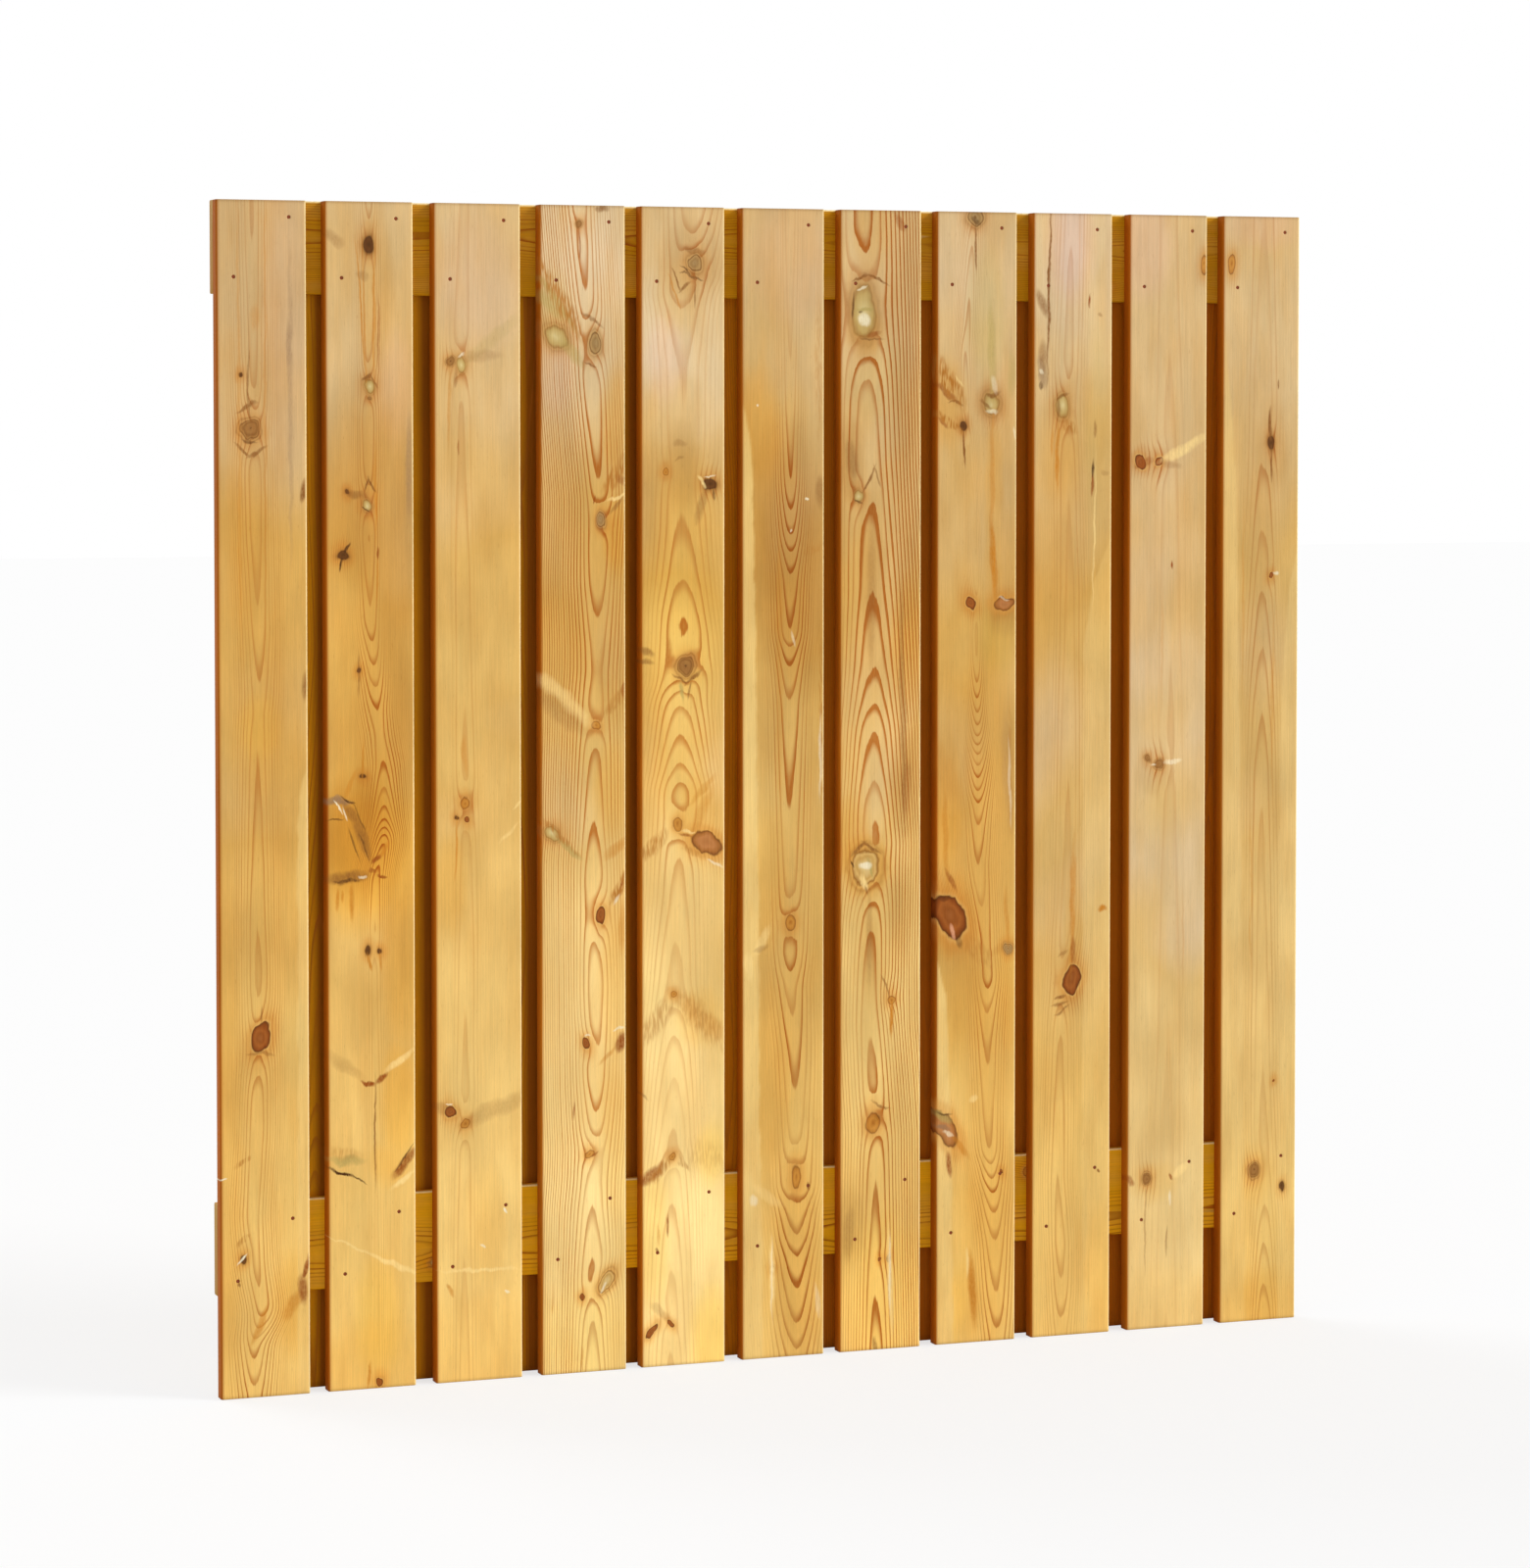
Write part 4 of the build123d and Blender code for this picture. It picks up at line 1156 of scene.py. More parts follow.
class Paint:
    """Short calls that lay out the nodes of one material or world."""

    def __init__(self, owner):
        owner.use_nodes = True
        self.tree = owner.node_tree
        self.tree.nodes.clear()

    def node(self, kind, inputs=(), **settings):
        made = self.tree.nodes.new(kind)
        for key, value in settings.items():
            setattr(made, key, value)
        for key, value in dict(inputs).items():
            self.feed(made.inputs[key], value)
        return made

    def feed(self, socket, value):
        if isinstance(value, bpy.types.NodeSocket):
            self.tree.links.new(value, socket)
        else:
            socket.default_value = value

    def math(self, operation, *values, clamp=False):
        made = self.node("ShaderNodeMath", enumerate(values), operation=operation, use_clamp=clamp)
        return made.outputs[0]

    def add(self, a, b):
        return self.math("ADD", a, b)

    def times(self, a, b):
        return self.math("MULTIPLY", a, b)

    def scaled(self, value, factor, shift):
        return self.math("MULTIPLY_ADD", value, factor, shift)

    def between(self, value, low, high, to_low=0.0, to_high=1.0):
        """Value's smooth way from low to high, as a number from to_low to to_high."""
        inputs = {"Value": value, "From Min": low, "From Max": high, "To Min": to_low, "To Max": to_high}
        return self.node("ShaderNodeMapRange", inputs, interpolation_type="SMOOTHSTEP").outputs["Result"]

    def blend(self, amount, first, second, mode="MIX"):
        made = self.node("ShaderNodeMix", data_type="RGBA", blend_type=mode)
        colour_inputs = [s for s in made.inputs if s.type == "RGBA"]
        self.feed(made.inputs[0], amount)
        self.feed(colour_inputs[0], first)
        self.feed(colour_inputs[1], second)
        return next(s for s in made.outputs if s.type == "RGBA")

    def carried(self, name, output="Vector"):
        """A place, or a colour, that the mesh carries."""
        node = self.node("ShaderNodeAttribute", attribute_name=name, attribute_type="GEOMETRY")
        return node.outputs[output]

    def numbers(self, name):
        """Three numbers that the mesh carries."""
        return self.node("ShaderNodeSeparateXYZ", {"Vector": self.carried(name)}).outputs

    def noise(self, place, scale, detail=2.0, roughness=0.5, output="Fac"):
        inputs = {"Vector": place, "Scale": scale, "Detail": detail, "Roughness": roughness}
        return self.node("ShaderNodeTexNoise", inputs).outputs[output]

    def vector(self, operation, *values, output="Vector"):
        return self.node("ShaderNodeVectorMath", enumerate(values), operation=operation).outputs[output]

    def stretched(self, place, along):
        """A place with its third number, the one along the grain, scaled."""
        return self.vector("MULTIPLY", place, (1.0, 1.0, along))

    def ramp(self, value, stops):
        """Colour and cover along rows of position, linear colour and cover."""
        made = self.node("ShaderNodeValToRGB", {"Fac": value})
        elements = made.color_ramp.elements
        elements.remove(elements[1])
        for number, (position, colour, cover) in enumerate(stops):
            element = elements[0] if number == 0 else elements.new(position)
            element.position = position
            element.color = tuple(colour) + (cover,)
        return made.outputs

    def square_way_to(self, place, u, z, half_u, half_z, tilt=0.0):
        """Square of how far a place is from a mark's middle, where 1 is the mark's edge.

        The place's second number is always 1, so that a dot product can shift as well as turn.
        """
        sine, cosine = math.sin(math.radians(tilt)), math.cos(math.radians(tilt))
        across = (cosine / half_u, (z * sine - u * cosine) / half_u, -sine / half_u)
        along = (sine / half_z, -(u * sine + z * cosine) / half_z, cosine / half_z)
        across = self.vector("DOT_PRODUCT", place, across, output="Value")
        along = self.vector("DOT_PRODUCT", place, along, output="Value")
        return self.scaled(along, along, self.times(across, across))

    def joined(self, operation, found, value):
        """The MINIMUM or MAXIMUM of what was found so far, if anything, and a new number."""
        return value if found is None else self.math(operation, found, value)

    def surface(self, sockets, height, strength, distance):
        """The shader with its sockets and a bump of the given height, as the material's surface."""
        bump = self.node("ShaderNodeBump", {"Height": height, "Strength": strength, "Distance": distance})
        sockets["Normal"] = bump.outputs["Normal"]
        shader = self.node("ShaderNodeBsdfPrincipled", sockets)
        self.node("ShaderNodeOutputMaterial", {"Surface": shader.outputs["BSDF"]})


def opaque(colour, factor=1.0):
    return (colour[0] * factor, colour[1] * factor, colour[2] * factor, 1.0)


def shade_of(colour, factors):
    return tuple(c * f for c, f in zip(colour, factors)) + (1.0,)


def of_kind(marks, kind):
    return [mark for mark in marks if mark["kind"] == kind]


def paint_knots(paint, wood, place, knots, wobble):
    """Wood with its knots."""
    for kind, look in KNOT_LOOKS.items():
        square = None
        for mark in of_kind(knots, kind):
            half_u, half_z = mark["wide"] / 2, mark["high"] / 2
            found = paint.square_way_to(place, mark["u"], mark["z"], half_u, half_z, mark["tilt"])
            square = paint.joined("MINIMUM", square, found)
        if square:
            way = paint.add(paint.math("SQRT", square), wobble)
            stops = [(position / 2, to_linear(colour), cover) for position, colour, cover in look]
            found = paint.ramp(paint.times(way, 0.5), stops)
            wood = paint.blend(found["Alpha"], wood, found["Color"])
    return wood


def paint_strokes(paint, wood, place, strokes, ragged, teeth):
    """Wood with its streaks, cracks and stains, broken along the fibres."""
    for kind, colour in STROKE_COLOURS.items():
        outer, inner = (2.4, 0.0) if kind in SOFT_STROKES else (1.5, 0.1)
        cover = None
        for mark in of_kind(strokes, kind):
            run_u, run_z = mark["to_u"] - mark["u"], mark["to_z"] - mark["z"]
            square = paint.square_way_to(
                place,
                mark["u"] + run_u / 2,
                mark["z"] + run_z / 2,
                mark["wide"] / 2,
                math.hypot(run_u, run_z) / 2 + mark["wide"] / 4,
                math.degrees(math.atan2(run_u, run_z)),
            )
            found = paint.between(square, outer, inner, 0.0, mark["amount"])
            cover = paint.joined("MAXIMUM", cover, found)
        if cover:
            cover = paint.math("MULTIPLY", cover, teeth if kind == "comb" else ragged, clamp=True)
            wood = paint.blend(cover, wood, opaque(to_linear(colour)))
    return wood


def pine(name, colours, faces, raw, inner, figure, line_shade=(1.0, 1.0, 1.0)):
    """Planed or sawn pine of one plank, from the numbers its mesh carries and its marks.

    faces are its planed colours from the foot up, raw is that of its sawn sides, on the boards partly
    painted shade, and inner that of its bare inner face or of the painted shadow on it.
    """
    material = bpy.data.materials.new(name)
    paint = Paint(material)
    place = paint.carried("timber")
    u, v, _ = paint.numbers("timber")
    pith_u, pith_v, rings_per_mm = paint.numbers("pith")
    swell, line_strength, sawn = paint.numbers("figure")
    tone, sap_amount, light = paint.numbers("tone")
    # The 'worn' numbers are the darker band near the ends, the painted highlight on the right arris, and the
    # inner faces' share
    end_band, painted_highlight, inner_amount = paint.numbers("worn")

    fibre = paint.noise(paint.stretched(place, 0.02), 0.55, 3.0, 0.62)
    fine_fibre = paint.noise(paint.stretched(place, 0.035), 1.6, 2.0, 0.6)
    sway = paint.noise(paint.stretched(place, 0.06), 0.05, 1.0)
    drift = paint.noise(paint.stretched(place, 0.22), 0.035, 2.0)
    blotch = paint.noise(paint.stretched(place, 0.35), 0.02, 3.0)
    speck = paint.noise(paint.stretched(place, 0.45), 0.45, 2.0)

    # Growth rings: distance from the pith, swollen round knots and a little unsteady
    off_u = paint.math("SUBTRACT", u, pith_u)
    off_v = paint.math("SUBTRACT", v, pith_v)
    squares = paint.add(paint.times(off_u, off_u), paint.times(off_v, off_v))
    reach = paint.times(paint.math("SQRT", squares), rings_per_mm)
    unsteady = paint.add(paint.scaled(sway, 0.4, -0.2), paint.scaled(fibre, 0.11, -0.055))
    ring = paint.add(paint.add(reach, swell), unsteady)
    way = paint.math("FRACT", ring)
    year = paint.math("FLOOR", ring)
    summer = paint.times(paint.between(way, 0.52, 0.92), paint.between(way, 0.93, 1.0, 1.0, 0.0))
    luck = paint.node("ShaderNodeTexWhiteNoise", {"W": year}, noise_dimensions="1D").outputs["Value"]
    strength = paint.times(line_strength, paint.scaled(luck, 0.8, 0.6))
    patchy = paint.between(blotch, 0.25, 0.75, 0.6, 1.2)
    line = paint.math("MULTIPLY", paint.times(summer, strength), patchy, clamp=True)
    hard_line = paint.times(line, paint.between(fine_fibre, 0.2, 0.8, 0.75, 1.15))

    stops = [(0.0, faces[0], 1.0), (0.5, faces[1], 1.0), (1.0, faces[2], 1.0)]
    wood = paint.ramp(tone, stops)["Color"]
    wood = paint.blend(sap_amount, wood, opaque(colours.sap))
    honey = shade_of(colours.heart_middle, (0.98, 0.86, 0.70))
    wood = paint.blend(paint.between(drift, 0.35, 0.75, 0.0, 0.28), wood, honey)
    # Sawn sides take the raw colour, on the boards partly painted shade, and so does the left arris as
    # painted shade
    wood = paint.blend(sawn, wood, opaque(raw))
    # Bare inner faces, or the painted shadow on some of them
    wood = paint.blend(inner_amount, wood, inner)
    wood = paint.blend(hard_line, wood, shade_of(colours.summer_line, line_shade))
    pores = paint.noise(paint.stretched(place, 0.06), 1.1, 1.0)
    pores = paint.between(pores, 0.66, 0.78, 0.0, 0.35)
    wood = paint.blend(pores, wood, opaque(colours.summer_line, 0.8))
    wood = paint.blend(1.0, wood, paint.carried("tint", "Color"), "MULTIPLY")

    # Marks are read a little off their true place, since nothing in wood has a ruled edge
    shake = paint.noise(paint.stretched(place, 0.3), 0.25, 1.0, output="Color")
    shake = paint.vector("SUBTRACT", shake, (0.5, 0.5, 0.5))
    marked = paint.vector("MULTIPLY_ADD", shake, (1.3, 0.0, 3.0), paint.carried("bent"))
    if figure["knots"]:
        wobble = paint.scaled(paint.noise(paint.stretched(place, 0.7), 0.07, 1.0), 0.4, -0.2)
        wood = paint_knots(paint, wood, marked, figure["knots"], wobble)
    if figure["strokes"]:
        ragged = paint.add(paint.times(fibre, 0.9), paint.scaled(speck, 0.9, 0.1))
        teeth = paint.between(paint.noise(paint.stretched(place, 0.16), 0.3, 1.0), 0.36, 0.62, 0.15, 1.1)
        wood = paint_strokes(paint, wood, marked, figure["strokes"], ragged, teeth)
    # Painted highlight along the right arris, broken by specks, then the darker band near the sawn ends
    painted_highlight = paint.times(painted_highlight, paint.add(speck, 0.3))
    wood = paint.blend(painted_highlight, wood, opaque(to_linear(PAINTED_HIGHLIGHT_COLOUR)))
    wood = paint.blend(end_band, wood, opaque(to_linear(END_BAND_COLOUR)))

    # Fibres: fine long streaks, lighter and darker
    streak = paint.times(paint.scaled(fibre, 0.30, 0.85), paint.scaled(fine_fibre, 0.18, 0.91))
    warmth = paint.between(blotch, 0.3, 0.7, -0.06, 0.06)
    bright = paint.add(paint.add(streak, light), warmth)
    wood = paint.blend(1.0, wood, bright, "MULTIPLY")

    height = paint.add(paint.times(fibre, 0.5), paint.times(hard_line, -0.3))
    gloss = paint.scaled(fine_fibre, 0.2, 0.52)
    sockets = {"Base Color": wood, "Roughness": gloss, "Specular IOR Level": 0.08}
    paint.surface(sockets, height, 0.35, 0.0006)
    return material


def nail_steel(colours):
    """Rust-brown steel with darker and brighter spots."""
    material = bpy.data.materials.new("Rusted nail steel")
    paint = Paint(material)
    place = paint.node("ShaderNodeTexCoord").outputs["Object"]
    rust = paint.noise(place, 900.0, 3.0)
    dark, light = opaque(colours.nail, 0.7), shade_of(colours.nail, (2.0, 1.5, 1.2))
    tone = paint.blend(paint.between(rust, 0.35, 0.65), dark, light)
    roughness = paint.between(rust, 0.3, 0.7, 0.45, 0.8)
    sockets = {"Base Color": tone, "Metallic": 0.45, "Roughness": roughness}
    paint.surface(sockets, rust, 0.3, 0.0002)
    return material


def timber_section(width, thick, outer_arris, inner_arris, columns, side_steps=3):
    """Points round a timber's section, in millimetres, from its outer face at -thick/2 on.

    Returns the points as rows of (u, v), and how many of them lie on the outer face.
    """
    outer_columns, inner_columns = columns
    half_u, half_v = width / 2, thick / 2
    outer_reach = half_u - outer_arris
    inner_reach = half_u - inner_arris
    points = [(u, -half_v) for u in np.linspace(-outer_reach, outer_reach, outer_columns + 1)]
    face_count = len(points)

    def corner(centre_u, centre_v, radius, start):
        if radius == 0:
            return []
        turns = [math.radians(start + step) for step in (30, 60, 90)]
        return [(centre_u + radius * math.cos(t), centre_v + radius * math.sin(t)) for t in turns]

    def side(sign):
        steps = np.linspace(-half_v + outer_arris, half_v - inner_arris, side_steps + 1)
        return [(sign * half_u, v) for v in (steps if sign > 0 else steps[::-1])]

    points += corner(outer_reach, -half_v + outer_arris, outer_arris, -90)
    points += side(1)[1 if outer_arris else 0:]
    points += corner(inner_reach, half_v - inner_arris, inner_arris, 0)
    inner = [(u, half_v) for u in np.linspace(inner_reach, -inner_reach, inner_columns + 1)]
    points += inner[1:]
    points += corner(-inner_reach, half_v - inner_arris, inner_arris, 90)
    points += side(-1)[1:]
    points += corner(-outer_reach, -half_v + outer_arris, outer_arris, 180)[:-1]
    return np.array(points), face_count


def wander(u, w, rng, reach_u, reach_w, count=7):
    """A smooth, seeded drift over a face, about -1 to 1."""
    total = np.zeros_like(u)
    for _ in range(count):
        turn_u, turn_w = rng.normal(0, 1 / reach_u), rng.normal(0, 1 / reach_w)
        total += np.sin(2 * np.pi * (u * turn_u + w * turn_w) + rng.uniform(0, 2 * np.pi))
    return total / math.sqrt(count)


def eased(way):
    """Smooth way from 0 to 1."""
    way = np.clip(way, 0, 1)
    return way * way * (3 - 2 * way)


def along_track(w, heights, values, length):
    """Values at heights, joined and softened, read at every w."""
    spacing = 2.0
    reach = 15
    steps = np.arange(0.0, length + spacing, spacing)
    joined = np.interp(steps, heights, np.broadcast_to(values, len(heights)))
    weights = np.exp(-((np.arange(-reach, reach + 1) / 6.0) ** 2))
    padded = np.pad(joined, reach, mode="edge")
    soft = np.convolve(padded, weights / weights.sum(), mode="valid")
    return np.interp(w, steps, soft)


def leaning_offset(u, w, mark):
    """Where points lie in a tilted knot's own directions, across and along."""
    turn = math.radians(mark["tilt"])
    sine, cosine = math.sin(turn), math.cos(turn)
    off_u, off_w = u - mark["u"], w - mark["z"]
    return off_u * cosine - off_w * sine, off_u * sine + off_w * cosine


def stroke_way(u, w, mark):
    """Distance from a stroke's line, where 1 is its edge."""
    run_u, run_w = mark["to_u"] - mark["u"], mark["to_z"] - mark["z"]
    squared = run_u ** 2 + run_w ** 2
    part = np.clip(((u - mark["u"]) * run_u + (w - mark["z"]) * run_w) / squared, 0, 1)
    off_u, off_w = u - mark["u"] - part * run_u, w - mark["z"] - part * run_w
    return np.hypot(off_u, off_w) / (mark["wide"] / 2)


def knot_numbers(knots, u, w):
    """How far knots swell the rings, harden their lines, stand out of the face and darken the wood."""
    swell, near, dent, halo = np.zeros((4, len(u)))
    for mark in knots:
        across, along = leaning_offset(u, w, mark)
        half_u, half_w = mark["wide"] / 2, mark["high"] / 2
        way = np.hypot(across / half_u, along / half_w)
        spread = np.hypot(across / (half_u * 1.5 + 5), along / (half_w * 1.7 + 14))
        swell += 0.6 * mark["lift"] * np.exp(-(spread ** 2))
        near = np.maximum(near, min(1.0, mark["lift"] / 2) * np.exp(-((spread / 1.25) ** 2)))
        dent = np.maximum(dent, 0.18 * eased((1.25 - way) / 0.5))
        around = np.hypot(across / (half_u * 1.7 + 6), along / (half_w * 1.9 + 9))
        halo = np.maximum(halo, 0.75 * eased(1.25 - around))
    return swell, near, dent, halo


def blended_tint(cover, factors):
    """What the wood's colour is multiplied by, from nothing up to the factors."""
    return 1 + cover[:, None] * (np.array(factors) - 1)


def zone_tint(zones, u, w):
    """What all soft zones together multiply the wood's colour by."""
    tint = np.ones((len(u), 3))
    for kind, factors in ZONE_TINTS.items():
        cover = np.zeros(len(u))
        for mark in of_kind(zones, kind):
            square = ((u - mark["u"]) / mark["wide"]) ** 2 + ((w - mark["z"]) / mark["high"]) ** 2
            cover = np.maximum(cover, mark["amount"] * eased(1 - square * 4 / 1.9))
        tint = tint * blended_tint(cover, factors)
    return tint


def plank_numbers(figure, u, v, w, length, thick, rng):
    """All numbers that the pine materials read, for points of one plank in millimetres."""
    track = partial(along_track, w, figure["heights"], length=length)
    depth = v + thick / 2
    half_width = np.abs(u).max()
    pith_u = track(figure["middles"])
    pith_v = -thick / 2 + track(figure["rings"]) * figure["spacing"]
    swell = 0.07 * wander(u, w, rng, 120, 700) + 0.04 * wander(u, w, rng, 40, 260)
    bent_u = u + 1.2 * wander(u, w, rng, 60, 90) + 0.4 * wander(u, w, rng, 16, 22)
    bent_w = w + 2.4 * wander(u, w, rng, 50, 70) + 0.9 * wander(u, w, rng, 16, 22)
    knot_swell, near, dent, halo = knot_numbers(figure["knots"], bent_u, bent_w)
    for mark in figure["strokes"]:
        way = stroke_way(bent_u, bent_w, mark)
        dent = np.maximum(dent, DEPTHS.get(mark["kind"], 0.0) * eased((1.2 - way) / 0.8))
    tint = blended_tint(halo, KNOT_HALO) * zone_tint(figure["zones"], bent_u, bent_w)
    sap = np.zeros(len(u))
    for strip in figure["strips"]:
        edge = np.interp(w, strip["heights"], strip["edges"])
        sap = np.maximum(sap, strip["amount"] * eased(0.5 + strip["side"] * (bent_u - edge) / 5.0))
    tint = 1 + (tint - 1) * (1 - 0.85 * sap[:, None])

    # Painted highlight: the right arris, facing the key light, is lightened. The wood is also darker close
    # to the sawn ends
    painted_highlight = 1.2 * eased((u - half_width + 2.8) / 1.4) * eased((4.0 - depth) / 1.5)
    to_end = np.minimum(w, length - w)
    end_band = 0.35 * eased(1.0 - to_end / 6.0)
    rise = w / length
    tone = 0.5 * eased(rise / 0.55) + 0.5 * eased((rise - 0.62) / 0.33)
    tone = np.clip(tone - 0.25 * figure["warm"] + 0.10 * wander(u, w, rng, 300, 400), 0, 1)
    light = figure["light"] + 0.02 * wander(u, w, rng, 200, 300)
    shown = 0.16 + 0.84 * eased(1.6 - np.abs(u - pith_u) / track(figure["reach"]))
    shown = shown * np.maximum(1.0 + figure["side"] * u / half_width, 0.0)
    lines = np.maximum(track(figure["lines"]) * shown, 0.95 * near) * (1.0 - 0.35 * sap)

    # Painted shadow darkens a strip of some inner faces. The others, and the sawn ends, are bare
    if figure["painted_shadow"] is None:
        inner = eased((half_width - np.abs(u) - 2.0) / 4.0) * eased(depth - thick + 1.5)
        inner = np.maximum(inner, to_end < 0.3)
    else:
        inner = figure["painted_shadow"] * eased((-u - 3.0) / 3.0) * eased(depth - 10.0)
    # Painted shade: the left arris, turned away from the key light, takes the sides' darker colour; the
    # right one keeps the planed face's
    sawn = eased((depth - np.where(u > 0, 3.0, 0.0)) / 1.4)
    sawn = np.maximum(sawn, eased((3.8 - half_width - u) / 1.8))
    numbers = dict(
        bent=(bent_u, np.ones(len(u)), bent_w),
        pith=(pith_u, pith_v, np.full(len(u), 1 / figure["spacing"])),
        figure=(swell + knot_swell, lines, sawn),
        tone=(tone, sap, light),
        worn=(end_band, painted_highlight, inner),
        tint=(*tint.T, np.ones(len(u))),
    )
    numbers = {name: np.column_stack(values) for name, values in numbers.items()}
    return numbers, np.where(depth < 1.5, dent, 0.0)


def pit_patch(centre_u, centre_w, face_v):
    """Rings of a nail's pit, from the wood round it to the floor under its head."""
    turns = np.radians(225 + 360 / PIT_SIDES * np.arange(PIT_SIDES))
    return [
        (centre_u + radius * math.cos(turn), face_v + depth, centre_w + radius * math.sin(turn))
        for radius, depth in PIT_RINGS
        for turn in turns
    ]


def timber_mesh(section, face_count, length, step, easing, pits):
    """A timber's mesh in its own millimetres: rows of the section, closed ends and nail pits.

    Returns its points as rows of (u, v, w) and its faces.
    """
    inner_rows = np.arange(step, length - step / 2, step)
    rows = np.concatenate([[0.0, easing], inner_rows, [length - easing, length]])
    last = len(rows) - 1
    count = len(section)
    eased_end = section * (1 - easing / np.abs(section).max(0))
    points = np.concatenate([
        np.column_stack([eased_end if number in (0, last) else section, np.full(count, w)])
        for number, w in enumerate(rows)
    ])
    gone = set()
    patches = []
    sides = range(-2, 2)
    for pit_u, pit_w in pits:
        column = int(np.argmin(np.abs(section[:face_count, 0] - pit_u)))
        row = int(np.argmin(np.abs(rows - pit_w)))
        gone.update((row + r, column + c) for r in sides for c in sides)
        loop = [(row - 2, column + k) for k in sides]
        loop += [(row + k, column + 2) for k in sides]
        loop += [(row + 2, column - k) for k in sides]
        loop += [(row - k, column - 2) for k in sides]
        patches.append((loop, pit_u, pit_w))
    faces = [
        (r * count + c, r * count + after, (r + 1) * count + after, (r + 1) * count + c)
        for r in range(last)
        for c, after in zip(range(count), [*range(1, count), 0])
        if (r, c) not in gone
    ]
    faces.append(tuple(reversed(range(count))))
    faces.append(tuple(range(last * count, last * count + count)))
    extra = []
    for loop, pit_u, pit_w in patches:
        outline = [r * count + c for r, c in loop]
        start = len(points) + len(extra)
        extra += pit_patch(pit_u, pit_w, section[0, 1])
        for ring in range(len(PIT_RINGS)):
            inner = [start + ring * PIT_SIDES + k for k in range(PIT_SIDES)]
            for k in range(PIT_SIDES):
                after = (k + 1) % PIT_SIDES
                faces.append((outline[k], outline[after], inner[after], inner[k]))
            outline = inner
        faces.append(tuple(outline))
    if extra:
        points = np.concatenate([points, np.array(extra)])
    return points, faces


def add_piece(node, names, points, faces, crease, material, numbers=()):
    """A smooth piece in place of its CAD node, with the numbers that its material reads.

    names ends the names of its mesh and its object, and crease is the sharp edges' angle in degrees.
    """
    mesh_end, piece_end = names
    mesh = bpy.data.meshes.new(node + mesh_end)
    mesh.from_pydata(points, [], faces)
    for name, values in dict(numbers).items():
        kind, key = ("FLOAT_COLOR", "color") if name == "tint" else ("FLOAT_VECTOR", "vector")
        attribute = mesh.attributes.new(name, kind, "POINT")
        attribute.data.foreach_set(key, np.ascontiguousarray(values, np.float32).ravel())
    mesh.validate()
    mesh.polygons.foreach_set("use_smooth", np.ones(len(mesh.polygons), bool))
    mesh.set_sharp_from_angle(angle=math.radians(crease))
    mesh.materials.append(material)
    piece = bpy.data.objects.new(node + piece_end, mesh)
    bpy.context.scene.collection.objects.link(piece)
    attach(piece, BODY)
    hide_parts(node)


def stand(node, u, v, w, side=1):
    """A board's points in metres, its outer face to the front, or to the back where side is -1."""
    low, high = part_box(node)
    middle = (low + high) / 2
    return np.column_stack([middle.x + side * u * MM, middle.y + side * v * MM, w * MM])


def lie(node, u, v, w):
    """A rail's points in metres, its length along X."""
    low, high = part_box(node)
    middle = (low + high) / 2
    return np.column_stack([low.x + w * MM, middle.y + v * MM, middle.z + u * MM])


def make_timber(node, number, figure, shape, step, pits, place, material):
    """One board or rail in place of its CAD node, from its figure and its section's shape."""
    section, face_count = shape
    sizes = bpy.context.scene.fence_sizes
    low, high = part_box(node)
    length = max(high - low) / MM
    points, faces = timber_mesh(section, face_count, length, step / MM, sizes.end_easing / MM, pits)
    u, v, w = points.T
    apart = PLANKS_APART * number
    rng = np.random.default_rng(TIMBER_SEED + int(apart))
    numbers, dent = plank_numbers(figure, u, v, w, length, section[:, 1].max() * 2, rng)
    v = v + dent
    numbers["timber"] = np.column_stack([u, v, w])
    for name in ("timber", "pith"):
        numbers[name][:, 0] += apart
    # A timber that lies down is mirrored, so its faces are turned round
    if place is lie:
        faces = [tuple(reversed(face)) for face in faces]
    placed = place(node, u, v, w).tolist()
    add_piece(node, ("_timber", "_grained"), placed, faces, 38, material, numbers)


def unseen_figure(rng, length, lines):
    """A plausible figure for a plank that the camera hardly sees, with a clear middle strip."""
    heights = np.linspace(0, length, 9)
    middles = rng.uniform(-22, 22) + np.cumsum(rng.normal(0, 6, 9))
    rings = rng.uniform(10, 15) + np.cumsum(rng.normal(0, 1.9, 9))
    knots = []
    for _ in range(rng.integers(3, 6)):
        kind = ("swirl", "oval", "pale", "dark", "amber")[rng.integers(0, 5)]
        wide = rng.uniform(9, 24)
        side = rng.choice([-1, 1])
        place = (side * rng.uniform(38, 56), rng.uniform(60, length - 60))
        size = (wide, wide * rng.uniform(1.0, 1.7))
        knots.append(knot(kind, place, size, tilt=rng.uniform(-25, 25), lift=1.8))
    strokes = []
    for _ in range(rng.integers(3, 7)):
        u, z = rng.choice([-1, 1]) * rng.uniform(24, 60), rng.uniform(100, length - 150)
        kind = ("amber", "brown", "yellow", "grey")[rng.integers(0, 4)]
        end = (u + rng.normal(0, 2), z + rng.uniform(20, 130))
        strokes.append(stroke(kind, (u, z), end, wide=5, amount=0.5))
    return plank(
        heights=heights, middles=middles, rings=np.maximum(rings, 4), spacing=rng.uniform(2.4, 3.4),
        reach=rng.uniform(30, 80), lines=lines, light=rng.normal(0, 0.02), warm=rng.normal(0, 0.3),
        knots=knots, strokes=strokes,
    )


def board_pits():
    """Where a board's four nails are: the upper one of each pair to the right."""
    return [(NAIL_ACROSS, w) for w in UPPER_NAILS] + [(-NAIL_ACROSS, w) for w in LOWER_NAILS]


def board_shape(sizes, columns):
    """A board's section: rounded at its outer face, square at the rails."""
    return timber_section(BOARD_SIZE.x / MM, BOARD_SIZE.y / MM, sizes.board_arris / MM, 0.0, columns)


